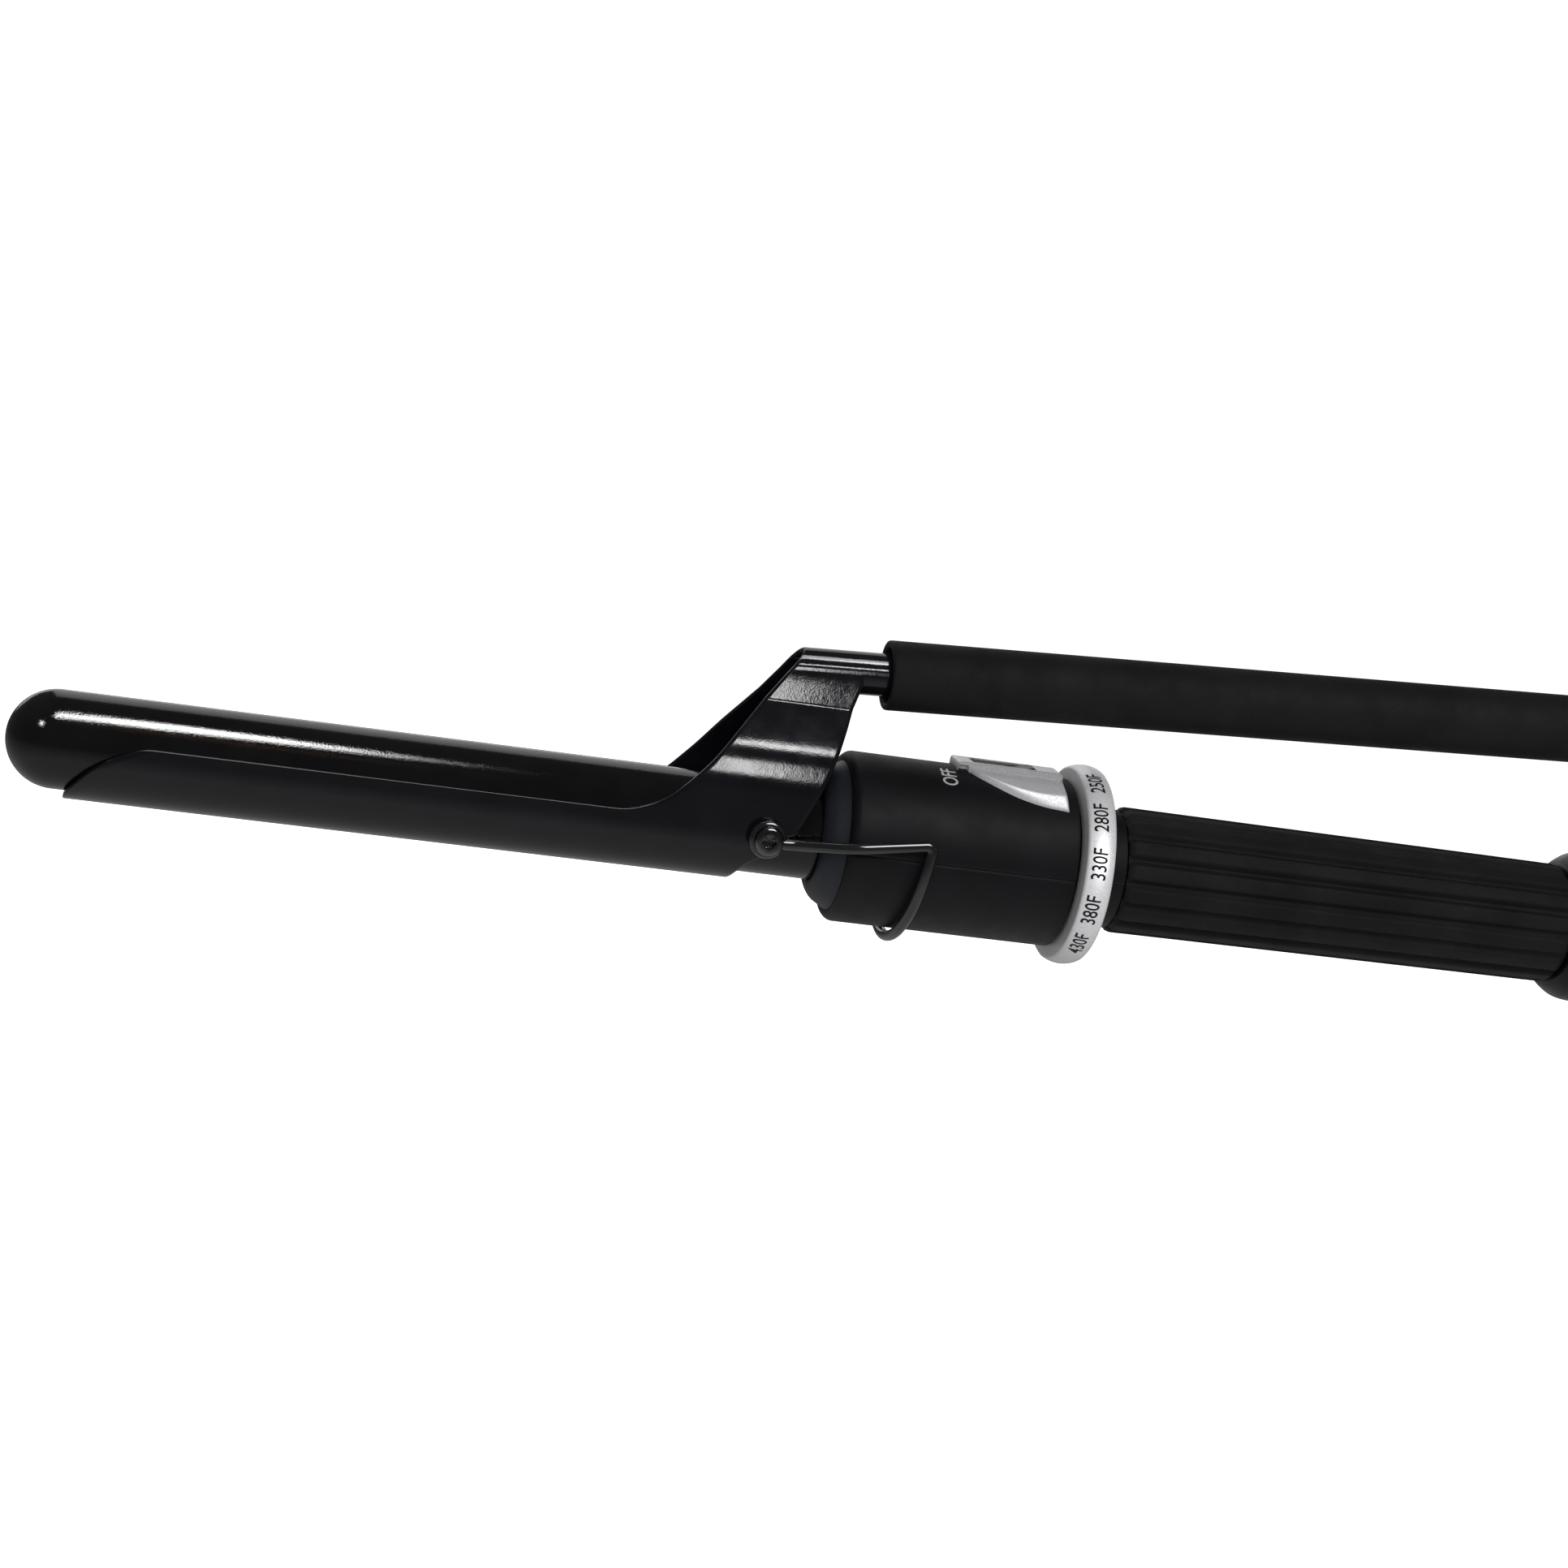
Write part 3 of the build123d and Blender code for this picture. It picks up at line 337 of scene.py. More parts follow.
def shaded_mesh(name, points, faces, limit=SHARP):
    """A mesh from points and faces, smooth except at its sharp edges."""
    mesh = bpy.data.meshes.new(name)
    mesh.from_pydata([tuple(point) for point in points], [], faces)
    smooth_by_angle(mesh, limit)
    return mesh


def make(name, points, faces, node, limit=SHARP):
    """A piece from its points and faces that stands for a CAD node."""
    piece = link(name, shaded_mesh(name, points, faces, limit), finishes[node_slots[node]])
    stand_for(piece, node)
    return piece


def rounded(points, corner, steps=4, closed=False):
    """A polyline with every inner corner rounded by up to corner along both of its sides."""
    points = [Vector(point) for point in points]
    count = len(points)
    result = []
    for i, here in enumerate(points):
        if not closed and i in (0, count - 1):
            result.append(here)
            continue
        before, after = points[i - 1], points[(i + 1) % count]
        reach = min(corner, (here - before).length * 0.45, (after - here).length * 0.45)
        start = here + (before - here).normalized() * reach
        end = here + (after - here).normalized() * reach
        for step in range(steps + 1):
            t = step / steps
            result.append(start * (1 - t) ** 2 + here * 2 * t * (1 - t) + end * t ** 2)
    return result


def curve(points, start, end, steps=10):
    """Smooth cubic through points, leaving along start and arriving along end."""
    points = [Vector(point) for point in points]
    chords = [(b - a).length for a, b in zip(points, points[1:])]
    slopes = [Vector(start).normalized()]
    for i in range(1, len(points) - 1):
        span = chords[i - 1] + chords[i]
        slopes.append((points[i] - points[i - 1]) / chords[i - 1] * (chords[i] / span)
                      + (points[i + 1] - points[i]) / chords[i] * (chords[i - 1] / span))
    slopes.append(Vector(end).normalized())
    result = [points[0]]
    for i, chord in enumerate(chords):
        for step in range(1, steps + 1):
            t = step / steps
            result.append(points[i] * (2 * t ** 3 - 3 * t ** 2 + 1)
                          + slopes[i] * chord * (t ** 3 - 2 * t ** 2 + t)
                          + points[i + 1] * (3 * t ** 2 - 2 * t ** 3)
                          + slopes[i + 1] * chord * (t ** 3 - t ** 2))
    return result


def arc(centre, size, start, end, steps=12):
    """Points of a circular arc in profile coordinates, angles in degrees."""
    return [Vector((centre[0] + size * cos(radians(start + (end - start) * i / steps)),
                    centre[1] + size * sin(radians(start + (end - start) * i / steps))))
            for i in range(steps + 1)]


def barrel_point(along, size, turn):
    """Point at a radius from the barrel axis; turn 0 is up, and the near side (-Y) is at 90 degrees."""
    return place(along, -size * sin(turn), size * cos(turn))


def lever_point(along, size, turn):
    return on_lever(along, -size * sin(turn), size * cos(turn))


def lathe(profile, turns=128, at=barrel_point, closed=True, shape=None):
    """Points and faces of a profile of (station, radius) turned about an axis.

    A closed profile is a loop, and an open one starts and ends on the axis. shape(along, size, turn)
    gives the radius where the section isn't round."""
    points, rings, faces = [], [], []
    for along, size in profile:
        if size < 1e-6:
            rings.append([len(points)] * turns)
            points.append(at(along, 0, 0))
            continue
        rings.append(range(len(points), len(points) + turns))
        for i in range(turns):
            turn = 2 * pi * i / turns
            points.append(at(along, shape(along, size, turn) if shape else size, turn))
    pairs = list(zip(rings, rings[1:])) + ([(rings[-1], rings[0])] if closed else [])
    for first, second in pairs:
        for i in range(turns):
            j = (i + 1) % turns
            loop = list(dict.fromkeys((first[i], first[j], second[j], second[i])))
            if len(loop) > 2:
                faces.append(loop)
    return points, faces


def joined(*shells):
    """Several (points, faces) as one."""
    points, faces = [], []
    for shell_points, shell_faces in shells:
        faces += [[len(points) + index for index in face] for face in shell_faces]
        points += list(shell_points)
    return points, faces


def thick_sheet(points, faces, thickness, lip=0.25, round_steps=6):
    """A sheet of metal around its middle surface. Its cut edges bulge outwards by lip."""
    fullness = 0.7
    work = bmesh.new()
    made = [work.verts.new(point) for point in points]
    for face in faces:
        loop = list(dict.fromkeys(face))
        if len(loop) > 2:
            work.faces.new([made[index] for index in loop])
    bmesh.ops.remove_doubles(work, verts=work.verts, dist=0.01 * MM)
    bmesh.ops.recalc_face_normals(work, faces=work.faces)
    work.normal_update()
    work.verts.ensure_lookup_table()
    work.verts.index_update()
    used = [vert for vert in work.verts if vert.link_faces]
    order = {vert: i for i, vert in enumerate(used)}
    half = thickness / 2 * MM
    outer = [vert.co + vert.normal * half for vert in used]
    inner = [vert.co - vert.normal * half for vert in used]
    new_points = outer + inner
    new_faces = []
    for face in work.faces:
        loop = [order[vert] for vert in face.verts]
        new_faces.append(loop)
        new_faces.append([index + len(used) for index in reversed(loop)])
    outward = {}
    rim = [edge for edge in work.edges if len(edge.link_faces) == 1]
    for edge in rim:
        along = edge.verts[1].co - edge.verts[0].co
        face = edge.link_faces[0]
        away = along.cross(face.normal).normalized()
        middle = (edge.verts[0].co + edge.verts[1].co) / 2
        if away.dot(middle - face.calc_center_median()) < 0:
            away.negate()
        for vert in edge.verts:
            outward[vert] = outward.get(vert, Vector()) + away
    rim_rows = {}
    for vert, away in outward.items():
        away = away.normalized() * lip * MM
        row = [order[vert]]
        for step in range(1, round_steps):
            turn = pi * step / round_steps
            row.append(len(new_points))
            new_points.append(vert.co + vert.normal * half * cos(turn) + away * sin(turn) ** fullness)
        row.append(order[vert] + len(used))
        rim_rows[vert] = row
    for edge in rim:
        first, second = rim_rows[edge.verts[0]], rim_rows[edge.verts[1]]
        for i in range(round_steps):
            new_faces.append([first[i], second[i], second[i + 1], first[i + 1]])
    work.free()
    return new_points, new_faces


def cut(piece, *tools):
    """Subtracts closed tool pieces from a piece and removes them."""
    for tool in tools:
        step = piece.modifiers.new("cut", "BOOLEAN")
        step.operation = "DIFFERENCE"
        step.solver = "EXACT"
        step.object = tool
        graph = bpy.context.evaluated_depsgraph_get()
        result = bpy.data.meshes.new_from_object(piece.evaluated_get(graph))
        piece.modifiers.clear()
        piece.data = result
        bpy.data.objects.remove(tool)
    smooth_by_angle(piece.data, SHARP)


def cutter(name, points, faces):
    """A closed piece for cut, which removes it after use."""
    return link(name, shaded_mesh(name, points, faces), finishes["housing_plastic"])


def block(low, high):
    """A closed box between two (station, y, height) corners, as a cutter."""
    along, across, upward = zip(low, high)
    corners = [place(x, y, z) for x in along for y in across for z in upward]
    faces = [(0, 1, 3, 2), (4, 6, 7, 5), (0, 4, 5, 1), (2, 3, 7, 6), (0, 2, 6, 4), (1, 5, 7, 3)]
    return cutter("block", corners, faces)


def upright(station, y, profile, turns=48):
    """A profile of (height, radius) turned about a vertical line."""
    def at(height, size, turn):
        return place(station + size * cos(turn), y + size * sin(turn), height)
    return lathe(profile, turns, at)


# ---------------------------------------------------------------- barrel
def build_barrel():
    wall = 1.0
    dome = BARREL_TIP + BARREL_R
    outside = arc((dome, 0), BARREL_R, 180, 90, 32)
    inside = arc((dome, 0), BARREL_R - wall, 90, 180, 16)
    rear = rounded([(dome + 1, BARREL_R), (BARREL_BACK, BARREL_R), (BARREL_BACK, BARREL_R - wall),
                    (dome + 1, BARREL_R - wall)], 0.3)
    on_axis = 1e-5
    profile = [(p.x, p.y if p.y > on_axis else 0) for p in outside + rear + inside]
    make("barrel_tube", *lathe(profile, 160, closed=False), "barrel")


# ---------------------------------------------------------------- clamp
EDGE_HEIGHT = 2.0
CREASE_HEIGHT = 26.3
TUBE_MOUTH = 15.6
TUBE_END = 23.5
RISE_START = -30.0
# Side outlines of the clamp in (station, height): its tip, the rise to the lever and its rear edge
front_tip = curve([(-134.0, -TROUGH_R), (-131.5, -6.0), (-126.5, -1.2), (-118.6, EDGE_HEIGHT)],
                  (0, 1), (1, 0.05))
rise = curve([(RISE_START, EDGE_HEIGHT), (-21.5, 4.6), (-14.5, 11.2), (-7.6, 20.4), (1.0, 32.4),
              (6.0, 39.5)], (1, 0), (0.53, 0.85))
back = curve([(-5.5, -TROUGH_R), (-2.6, -5.6), (1.0, -3.3), (3.6, -1.8), (5.6, 0.8), (7.4, 5.0),
              (11.0, 14.5), (13.4, 23.0)], (0.3, 1), (0.25, 1))
back += [Vector((14.3, 27.2)), Vector((TUBE_MOUTH, 28.4)), Vector((TUBE_MOUTH, 45.0))]


def crossing(line, height):
    """Station where an outline that rises steadily reaches a height."""
    return float(np.interp(height, [p.y for p in line], [p.x for p in line]))


def build_clamp():
    half = SHEET / 2
    trough = TROUGH_R - half
    tube = LEVER_TUBE_R - half
    flank = tube + 0.9
    bend = rounded([(trough, EDGE_HEIGHT), (trough, 14.2), (flank, CREASE_HEIGHT)], 6.2, 10)
    lean = bend[-2] * 0.12 + bend[-1] * 0.88
    crease = rounded([lean, (flank, CREASE_HEIGHT), (tube, 31.4)], 1.0, 5)
    # Rows run up one side: (half width, height as a function of station)
    rows = [(trough * cos(turn), trough * sin(turn)) for turn in np.linspace(-pi / 2, 0, 19)]
    rows += [(trough, height) for height in (0.5, 0.9, 1.2, 1.45, 1.65, 1.8, 1.92)]
    lower = len(rows)
    rows += [(trough, height) for height in (2.0, 2.04, 2.12, 2.25, 2.45, 2.75, 3.2, 3.8, 4.6, 5.6, 6.8)]
    rows += [(point.x, point.y) for point in bend[1:-1]]
    rows += [tuple(bend[-2].lerp(lean, t)) for t in (0.2, 0.4, 0.6, 0.8)]
    rows += [(point.x, point.y) for point in crease]
    upper = len(rows)
    axis_rows = [(tube * cos(turn), turn) for turn in np.linspace(0, pi / 2, 12)]

    def axis_height(station):
        return LEVER_HEIGHT + LEVER_SLOPE * station

    points = []

    def add(station, width, height):
        points.append(place(station, -width, height))
        return len(points) - 1

    # Columns along the trough, along the ears, and along the sleeve round the lever tube
    first_group, second_group, third_group = 46, 30, 10
    sleeve = [TUBE_MOUTH + (TUBE_END - TUBE_MOUTH) * k / third_group for k in range(third_group + 1)]
    grid = []
    for i, (width, height) in enumerate(rows):
        row = []
        if i <= lower:
            start = crossing(front_tip, height)
            for k in range(first_group):
                row.append(add(start + (RISE_START - start) * k / first_group, width, height))
            start = RISE_START
        else:
            start = crossing(rise, height)
        stop = crossing(back, height)
        for k in range(second_group + 1):
            row.append(add(start + (stop - start) * k / second_group, width, height))
        grid.append(row)
    for width, turn in axis_rows:
        row = []
        start = 0.0
        for _ in range(4):  # the start's height depends on the start, so it is found by repeating
            start = crossing(rise, axis_height(start) + tube * sin(turn))
        for k in range(second_group + 1):
            station = start + (TUBE_MOUTH - start) * k / second_group
            row.append(add(station, width, axis_height(station) + tube * sin(turn)))
        for station in sleeve[1:]:
            row.append(add(station, width, axis_height(station) + tube * sin(turn)))
        grid.append(row)
    under = []
    for turn in np.linspace(-pi / 2, 0, 12)[:-1]:
        under.append([add(station, tube * cos(turn), axis_height(station) + tube * sin(turn))
                      for station in sleeve])
    under.append(grid[upper][second_group:])
    faces = []
    for i, (low, high) in enumerate(zip(grid, grid[1:])):
        if i == lower:
            low = low[first_group:]
        shared = min(len(low), len(high))
        faces += [(low[k], low[k + 1], high[k + 1], high[k]) for k in range(shared - 1)]
    for low, high in zip(under, under[1:]):
        faces += [(low[k], low[k + 1], high[k + 1], high[k]) for k in range(third_group)]
    far_points = [Vector((p.x, -p.y, p.z)) for p in points]
    points, faces = joined((points, faces), (far_points, [tuple(reversed(face)) for face in faces]))
    make("clamp_sheet", *thick_sheet(points, faces, SHEET), "clamp", 50)


# ---------------------------------------------------------------- pivot screws and wire stand
HEAD_FACE = 13.85
HEAD_R = 2.9
HEAD_THICK = 1.4
WIRE_R = 1.1
EYE_R = 2.75
EYE_Y = 12.65


def build_screws():
    top = HEAD_FACE + HEAD_THICK
    lobes = 6
    recess = 1.2
    shank_r = 1.55
    edge_round = 0.9

    def screw(side):
        def at(along, size, turn):
            return place(size * cos(turn), side * along, size * sin(turn))

        def lobed(along, size, turn):
            return size * (1 + 0.13 * cos(lobes * turn)) if size < 1.5 and along > HEAD_FACE else size
        profile = [(BARREL_R - 0.5, 0), (BARREL_R - 0.5, shank_r), (HEAD_FACE, shank_r), (HEAD_FACE, 2.6)]
        profile += [(HEAD_FACE + 0.15, HEAD_R)]
        profile += [tuple(p) for p in arc((HEAD_FACE + 0.5, HEAD_R - edge_round), edge_round, 90, 12, 8)]
        profile += [(top - 0.03, 1.75), (top, 1.45), (top - 0.04, recess + 0.06), (top - 0.12, recess),
                    (top - 0.85, recess * 0.93), (top - 0.95, 0.6), (top - 1.0, 0)]
        return lathe(profile, 72, at, closed=False, shape=lobed)
    make("pivot_screw_heads", *joined(screw(-1), screw(1)), "pivot_screws")


def swept(path, size, turns=20, loop=False):
    """A round bar along a path of points in metres."""
    points, faces = [], []
    count = len(path)
    normal = None
    for i, here in enumerate(path):
        ahead = path[(i + 1) % count] if loop or i < count - 1 else here
        behind = path[i - 1] if loop or i else here
        direction = (ahead - behind).normalized()
        if normal is None:
            normal = direction.orthogonal().normalized()
        normal = (normal - direction * normal.dot(direction)).normalized()
        side = direction.cross(normal)
        points += [here + (normal * cos(2 * pi * k / turns) + side * sin(2 * pi * k / turns)) * size * MM
                   for k in range(turns)]
    spans = count if loop else count - 1
    for i in range(spans):
        first, second = i * turns, (i + 1) % count * turns
        faces += [(first + k, first + (k + 1) % turns, second + (k + 1) % turns, second + k)
                  for k in range(turns)]
    if not loop:
        faces.append(list(reversed(range(turns))))
        faces.append(list(range(spans * turns, count * turns)))
    return points, faces


def build_stand():
    low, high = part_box("stand_wire")
    loop_r = (high[1] - low[1]) / 2 / MM - WIRE_R
    loop_station = 31.2
    loop_height = 3.9
    lean = radians(6.5)
    arm_y = EYE_Y + 0.2
    arm = rounded([(EYE_R - 0.2, -arm_y + 0.1, -0.6), (HEAD_R + 3.4, -arm_y, -0.4),
                   (HEAD_R + 13.0, -loop_r, 1.4),
                   (loop_station + loop_height * tan(lean), -loop_r, loop_height),
                   (loop_station, -loop_r, 0)], 2.6, 8)
    circle = [Vector((loop_station - loop_r * sin(lean) * sin(t), -loop_r * cos(t),
                      -loop_r * cos(lean) * sin(t))) for t in np.linspace(0, pi, 49)]
    far_arm = [Vector((p.x, -p.y, p.z)) for p in reversed(arm[:-1])]
    path = [place(*p) for p in arm[:-1] + circle + far_arm]
    eyes = []
    for side in (-1, 1):
        ring = [place(EYE_R * cos(t), side * EYE_Y, EYE_R * sin(t))
                for t in np.linspace(0, 2 * pi, 41)[:-1]]
        eyes.append(swept(ring, WIRE_R, 16, loop=True))
    make("stand_wire_bent", *joined(swept(path, WIRE_R), *eyes), "stand_wire", 60)


# ---------------------------------------------------------------- lever grip
def build_upper_grip():
    front, back_end = 21.0, 180.0
    outer, bore, recess = 7.0, 5.0, 5.6
    body = rounded([(front, recess), (front + 4, recess), (front + 4, bore), (back_end, bore),
                    (back_end, outer), (front, outer)], 1.1, 6, closed=True)
    make("upper_grip_sleeve", *lathe(body, 96, lever_point), "upper_grip")
    dome = 6.0
    rim = back_end + 0.05
    cap = [(back_end - 3.5, 0), (back_end - 3.5, bore), (rim, bore), (rim, outer - 0.35),
           (back_end + 0.35, outer)]
    cap += [tuple(p) for p in curve([(back_end + 1, outer), (back_end + 1 + 0.7 * dome, 0.7 * outer),
                                     (back_end + 1 + dome, 0)], (1, 0), (0, -1))]
    cap[-1] = (cap[-1][0], 0)
    make("upper_grip_end_cap", *lathe(cap, 96, lever_point, closed=False), "upper_grip_cap")


# ---------------------------------------------------------------- collar and housing
def build_collar():
    front = stations("front_collar")[0]
    hole = BARREL_R + 0.075
    face = curve([(front, hole + 0.5), (front + 0.25, 11.4), (front + 1.4, 13.2),
                  (HOUSING_FRONT, HOUSING_BORE)], (-0.1, 1), (0.75, 0.66), 8)
    profile = [(HOUSING_FRONT, hole), (front + 0.35, hole), (front + 0.1, hole + 0.2)]
    profile += [tuple(p) for p in face]
    make("collar_ring", *lathe(profile, 128), "front_collar")


def half_shell(profile, upper):
    """Half of a turned wall, with its parting faces set back and chamfered for a fine seam."""
    gap, chamfer = 0.05, 0.3
    turns = 96
    points, rings, faces = [], [], []
    for along, size in profile:
        edge = (gap + chamfer) / size
        angles = [gap / size] + list(np.linspace(edge, pi - edge, turns)) + [pi - gap / size]
        ring = []
        for i, turn in enumerate(angles):
            inset = chamfer * 0.6 if i in (0, turns + 1) and size > 11 else 0
            ring.append(len(points))
            spin = turn - pi / 2 if upper else turn + pi / 2
            points.append(barrel_point(along, size - inset, spin))
        rings.append(ring)
    for first, second in zip(rings, rings[1:] + rings[:1]):
        faces += [(first[k], first[k + 1], second[k + 1], second[k]) for k in range(turns + 1)]
    faces.append([ring[0] for ring in rings])
    faces.append([ring[-1] for ring in reversed(rings)])
    return points, faces


PINION_FRONT, PINION_BACK = 64.6, 66.8


def build_housing():
    wall = 2.2
    profile = arc((HOUSING_FRONT + 1.8, HOUSING_R - 1.8), 1.8, 180, 90, 8)
    profile += rounded([(HOUSING_FRONT + 3, HOUSING_R), (HOUSING_REAR, HOUSING_R), (HOUSING_REAR, NECK_R),
                        (NECK_BACK, NECK_R), (NECK_BACK, CORE_R), (HOUSING_REAR - wall, CORE_R),
                        (HOUSING_REAR - wall, HOUSING_BORE), (HOUSING_FRONT + 1, HOUSING_BORE)], 0.25, 3)
    profile.append(Vector((HOUSING_FRONT, HOUSING_BORE + 0.05)))
    upper = make("housing_top_shell", *half_shell(profile, True), "housing_upper")
    switch_opening = block((41.2, -3.5, 12), (54.8, 3.5, 20))
    cut(upper, switch_opening)
    lower = make("housing_bottom_shell", *half_shell(profile, False), "housing_lower")
    low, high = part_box("housing_screws")
    head_r, shank_r, boss_r = 2.1, 1.25, 2.4
    first, last = (low[0] - PIVOT.x) / MM + 2.0, (high[0] - PIVOT.x) / MM - 2.0
    y = high[1] / MM - 2.0
    drills, bosses = [], []
    for station in (first, last):
        pocket = upright(station, y, [(-18, 0), (-18, head_r), (-11, head_r), (-11, 0)])
        drills.append(cutter("drill", *pocket))
        bosses.append(upright(station, y, [(-12.6, head_r), (-7.5, head_r), (-7.5, shank_r), (-5, shank_r),
                                           (-5, boss_r), (-12.6, boss_r)]))
    play = 0.4
    drills.append(block((PINION_FRONT - play, -7.4, -15.4), (PINION_BACK + play, 7.4, -8.2)))
    cut(lower, *drills)
    boss_mesh = shaded_mesh("bosses", *joined(*bosses))
    work = bmesh.new()
    work.from_mesh(lower.data)
    work.from_mesh(boss_mesh)
    work.to_mesh(lower.data)
    work.free()


# ---------------------------------------------------------------- power switch
BEZEL_FRONT, BEZEL_BACK = stations("switch_bezel")
PLATEAU_HEIGHT = (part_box("switch_bezel")[1][2] - PIVOT.z) / MM
PLATEAU_HALF = 3.4
WINDOW_HALF_LENGTH, WINDOW_HALF_WIDTH = 6.8, 2.5
STRIP_END = 40.1
SWITCH_STATION = 48.0


def build_bezel():
    """A flat strip with the switch window, and two scooped flanks that widen towards the dial."""
    flare = curve([(STRIP_END, 3.0), (41.4, 5.2), (43.8, 7.2), (48.6, 9.8), (53.5, 11.1),
                   (BEZEL_BACK, 11.7)], (0.4, 1), (1, 0.08))
    swell = 0.22
    skin, foot = HOUSING_R + 0.62, HOUSING_R + 0.06
    window = (SWITCH_STATION - WINDOW_HALF_LENGTH, SWITCH_STATION + WINDOW_HALF_LENGTH)
    columns = [BEZEL_FRONT, BEZEL_FRONT + 0.02, BEZEL_FRONT + 0.12, BEZEL_FRONT + 0.35, BEZEL_FRONT + 1.2,
               STRIP_END, STRIP_END + 0.12]
    columns += list(np.linspace(STRIP_END + 0.3, window[0], 4))
    columns += list(np.linspace(window[0], window[1], 22))[1:]
    columns += list(np.linspace(window[1], BEZEL_BACK - 0.4, 9))[1:]
    columns += [BEZEL_BACK - 0.15, BEZEL_BACK - 0.03, BEZEL_BACK]
    points, faces, grid = [], [], []
    for x in columns:
        width = max(float(np.interp(x, [p.x for p in flare], [p.y for p in flare])), PLATEAU_HALF + 0.45)
        travel = (x - BEZEL_FRONT) / (BEZEL_BACK - BEZEL_FRONT)
        rim = 0.25 + 2.6 * travel ** 1.2
        crease = width - min(rim, (width - PLATEAU_HALF - 0.35) * 0.5)
        fade = 1 - min(max((travel - 0.5) / 0.35, 0), 1)
        row = [(0, PLATEAU_HEIGHT), (WINDOW_HALF_WIDTH, PLATEAU_HEIGHT),
               (PLATEAU_HALF - 0.25, PLATEAU_HEIGHT), (PLATEAU_HALF - 0.07, PLATEAU_HEIGHT - 0.07),
               (PLATEAU_HALF, PLATEAU_HEIGHT - 0.25)]
        groove = sqrt(skin ** 2 - PLATEAU_HALF ** 2) - 0.1
        row += [(PLATEAU_HALF + 0.03, groove + 0.3), (PLATEAU_HALF + 0.15, groove)]
        for k in range(1, 11):
            t = k / 10
            y = PLATEAU_HALF + 0.15 + (crease - PLATEAU_HALF - 0.15) * t
            scoop = 0.42 * sin(pi * t) * min(1.0, (crease - PLATEAU_HALF) / 4)
            size = skin - scoop + swell * t * fade
            row.append((y, sqrt(size ** 2 - y ** 2)))
        outer_skin = skin + swell * fade
        for k in range(1, 7):
            t = k / 6
            y = crease + (width - crease) * t
            size = outer_skin + (foot - outer_skin) * (t ** (1.3 + fade))
            row.append((y, sqrt(max(size ** 2 - y ** 2, 0))))
        if x <= STRIP_END:
            neck = PLATEAU_HALF - 1.1
            bottom = sqrt(foot ** 2 - neck ** 2)
            ledge = PLATEAU_HEIGHT - 0.6
            row[5:7] = [(PLATEAU_HALF - 0.05, PLATEAU_HEIGHT - 0.45), (PLATEAU_HALF - 0.35, ledge)]
            row[7:] = [(neck, ledge + (bottom - PLATEAU_HEIGHT + 0.6) * k / 15) for k in range(16)]
        if x in (BEZEL_FRONT, BEZEL_BACK):
            row = [(y, sqrt(foot ** 2 - y ** 2)) for y, _ in row]
        elif x in (columns[1], columns[-2]):
            row = [(y, z - min(0.35, (z - sqrt(foot ** 2 - y ** 2)) * 0.5)) for y, z in row]
        elif x in (columns[2], columns[-3]):
            row = [(y, z - min(0.1, (z - sqrt(foot ** 2 - y ** 2)) * 0.2)) for y, z in row]
        grid.append([])
        for y, z in row:
            grid[-1].append(len(points))
            points.append(place(x, -y, z))
    for i in range(len(columns) - 1):
        open_window = columns[i] >= window[0] - 1e-6 and columns[i + 1] <= window[1] + 1e-6
        for k in range(len(grid[i]) - 1):
            if k == 0 and open_window:
                continue
            faces.append((grid[i][k], grid[i][k + 1], grid[i + 1][k + 1], grid[i + 1][k]))
    far = [Vector((p.x, -p.y, p.z)) for p in points]
    points, faces = joined((points, faces), (far, [tuple(reversed(face)) for face in faces]))
    make("switch_bezel_shell", *thick_sheet(points, faces, 0.3, 0.06), "switch_bezel", 40)


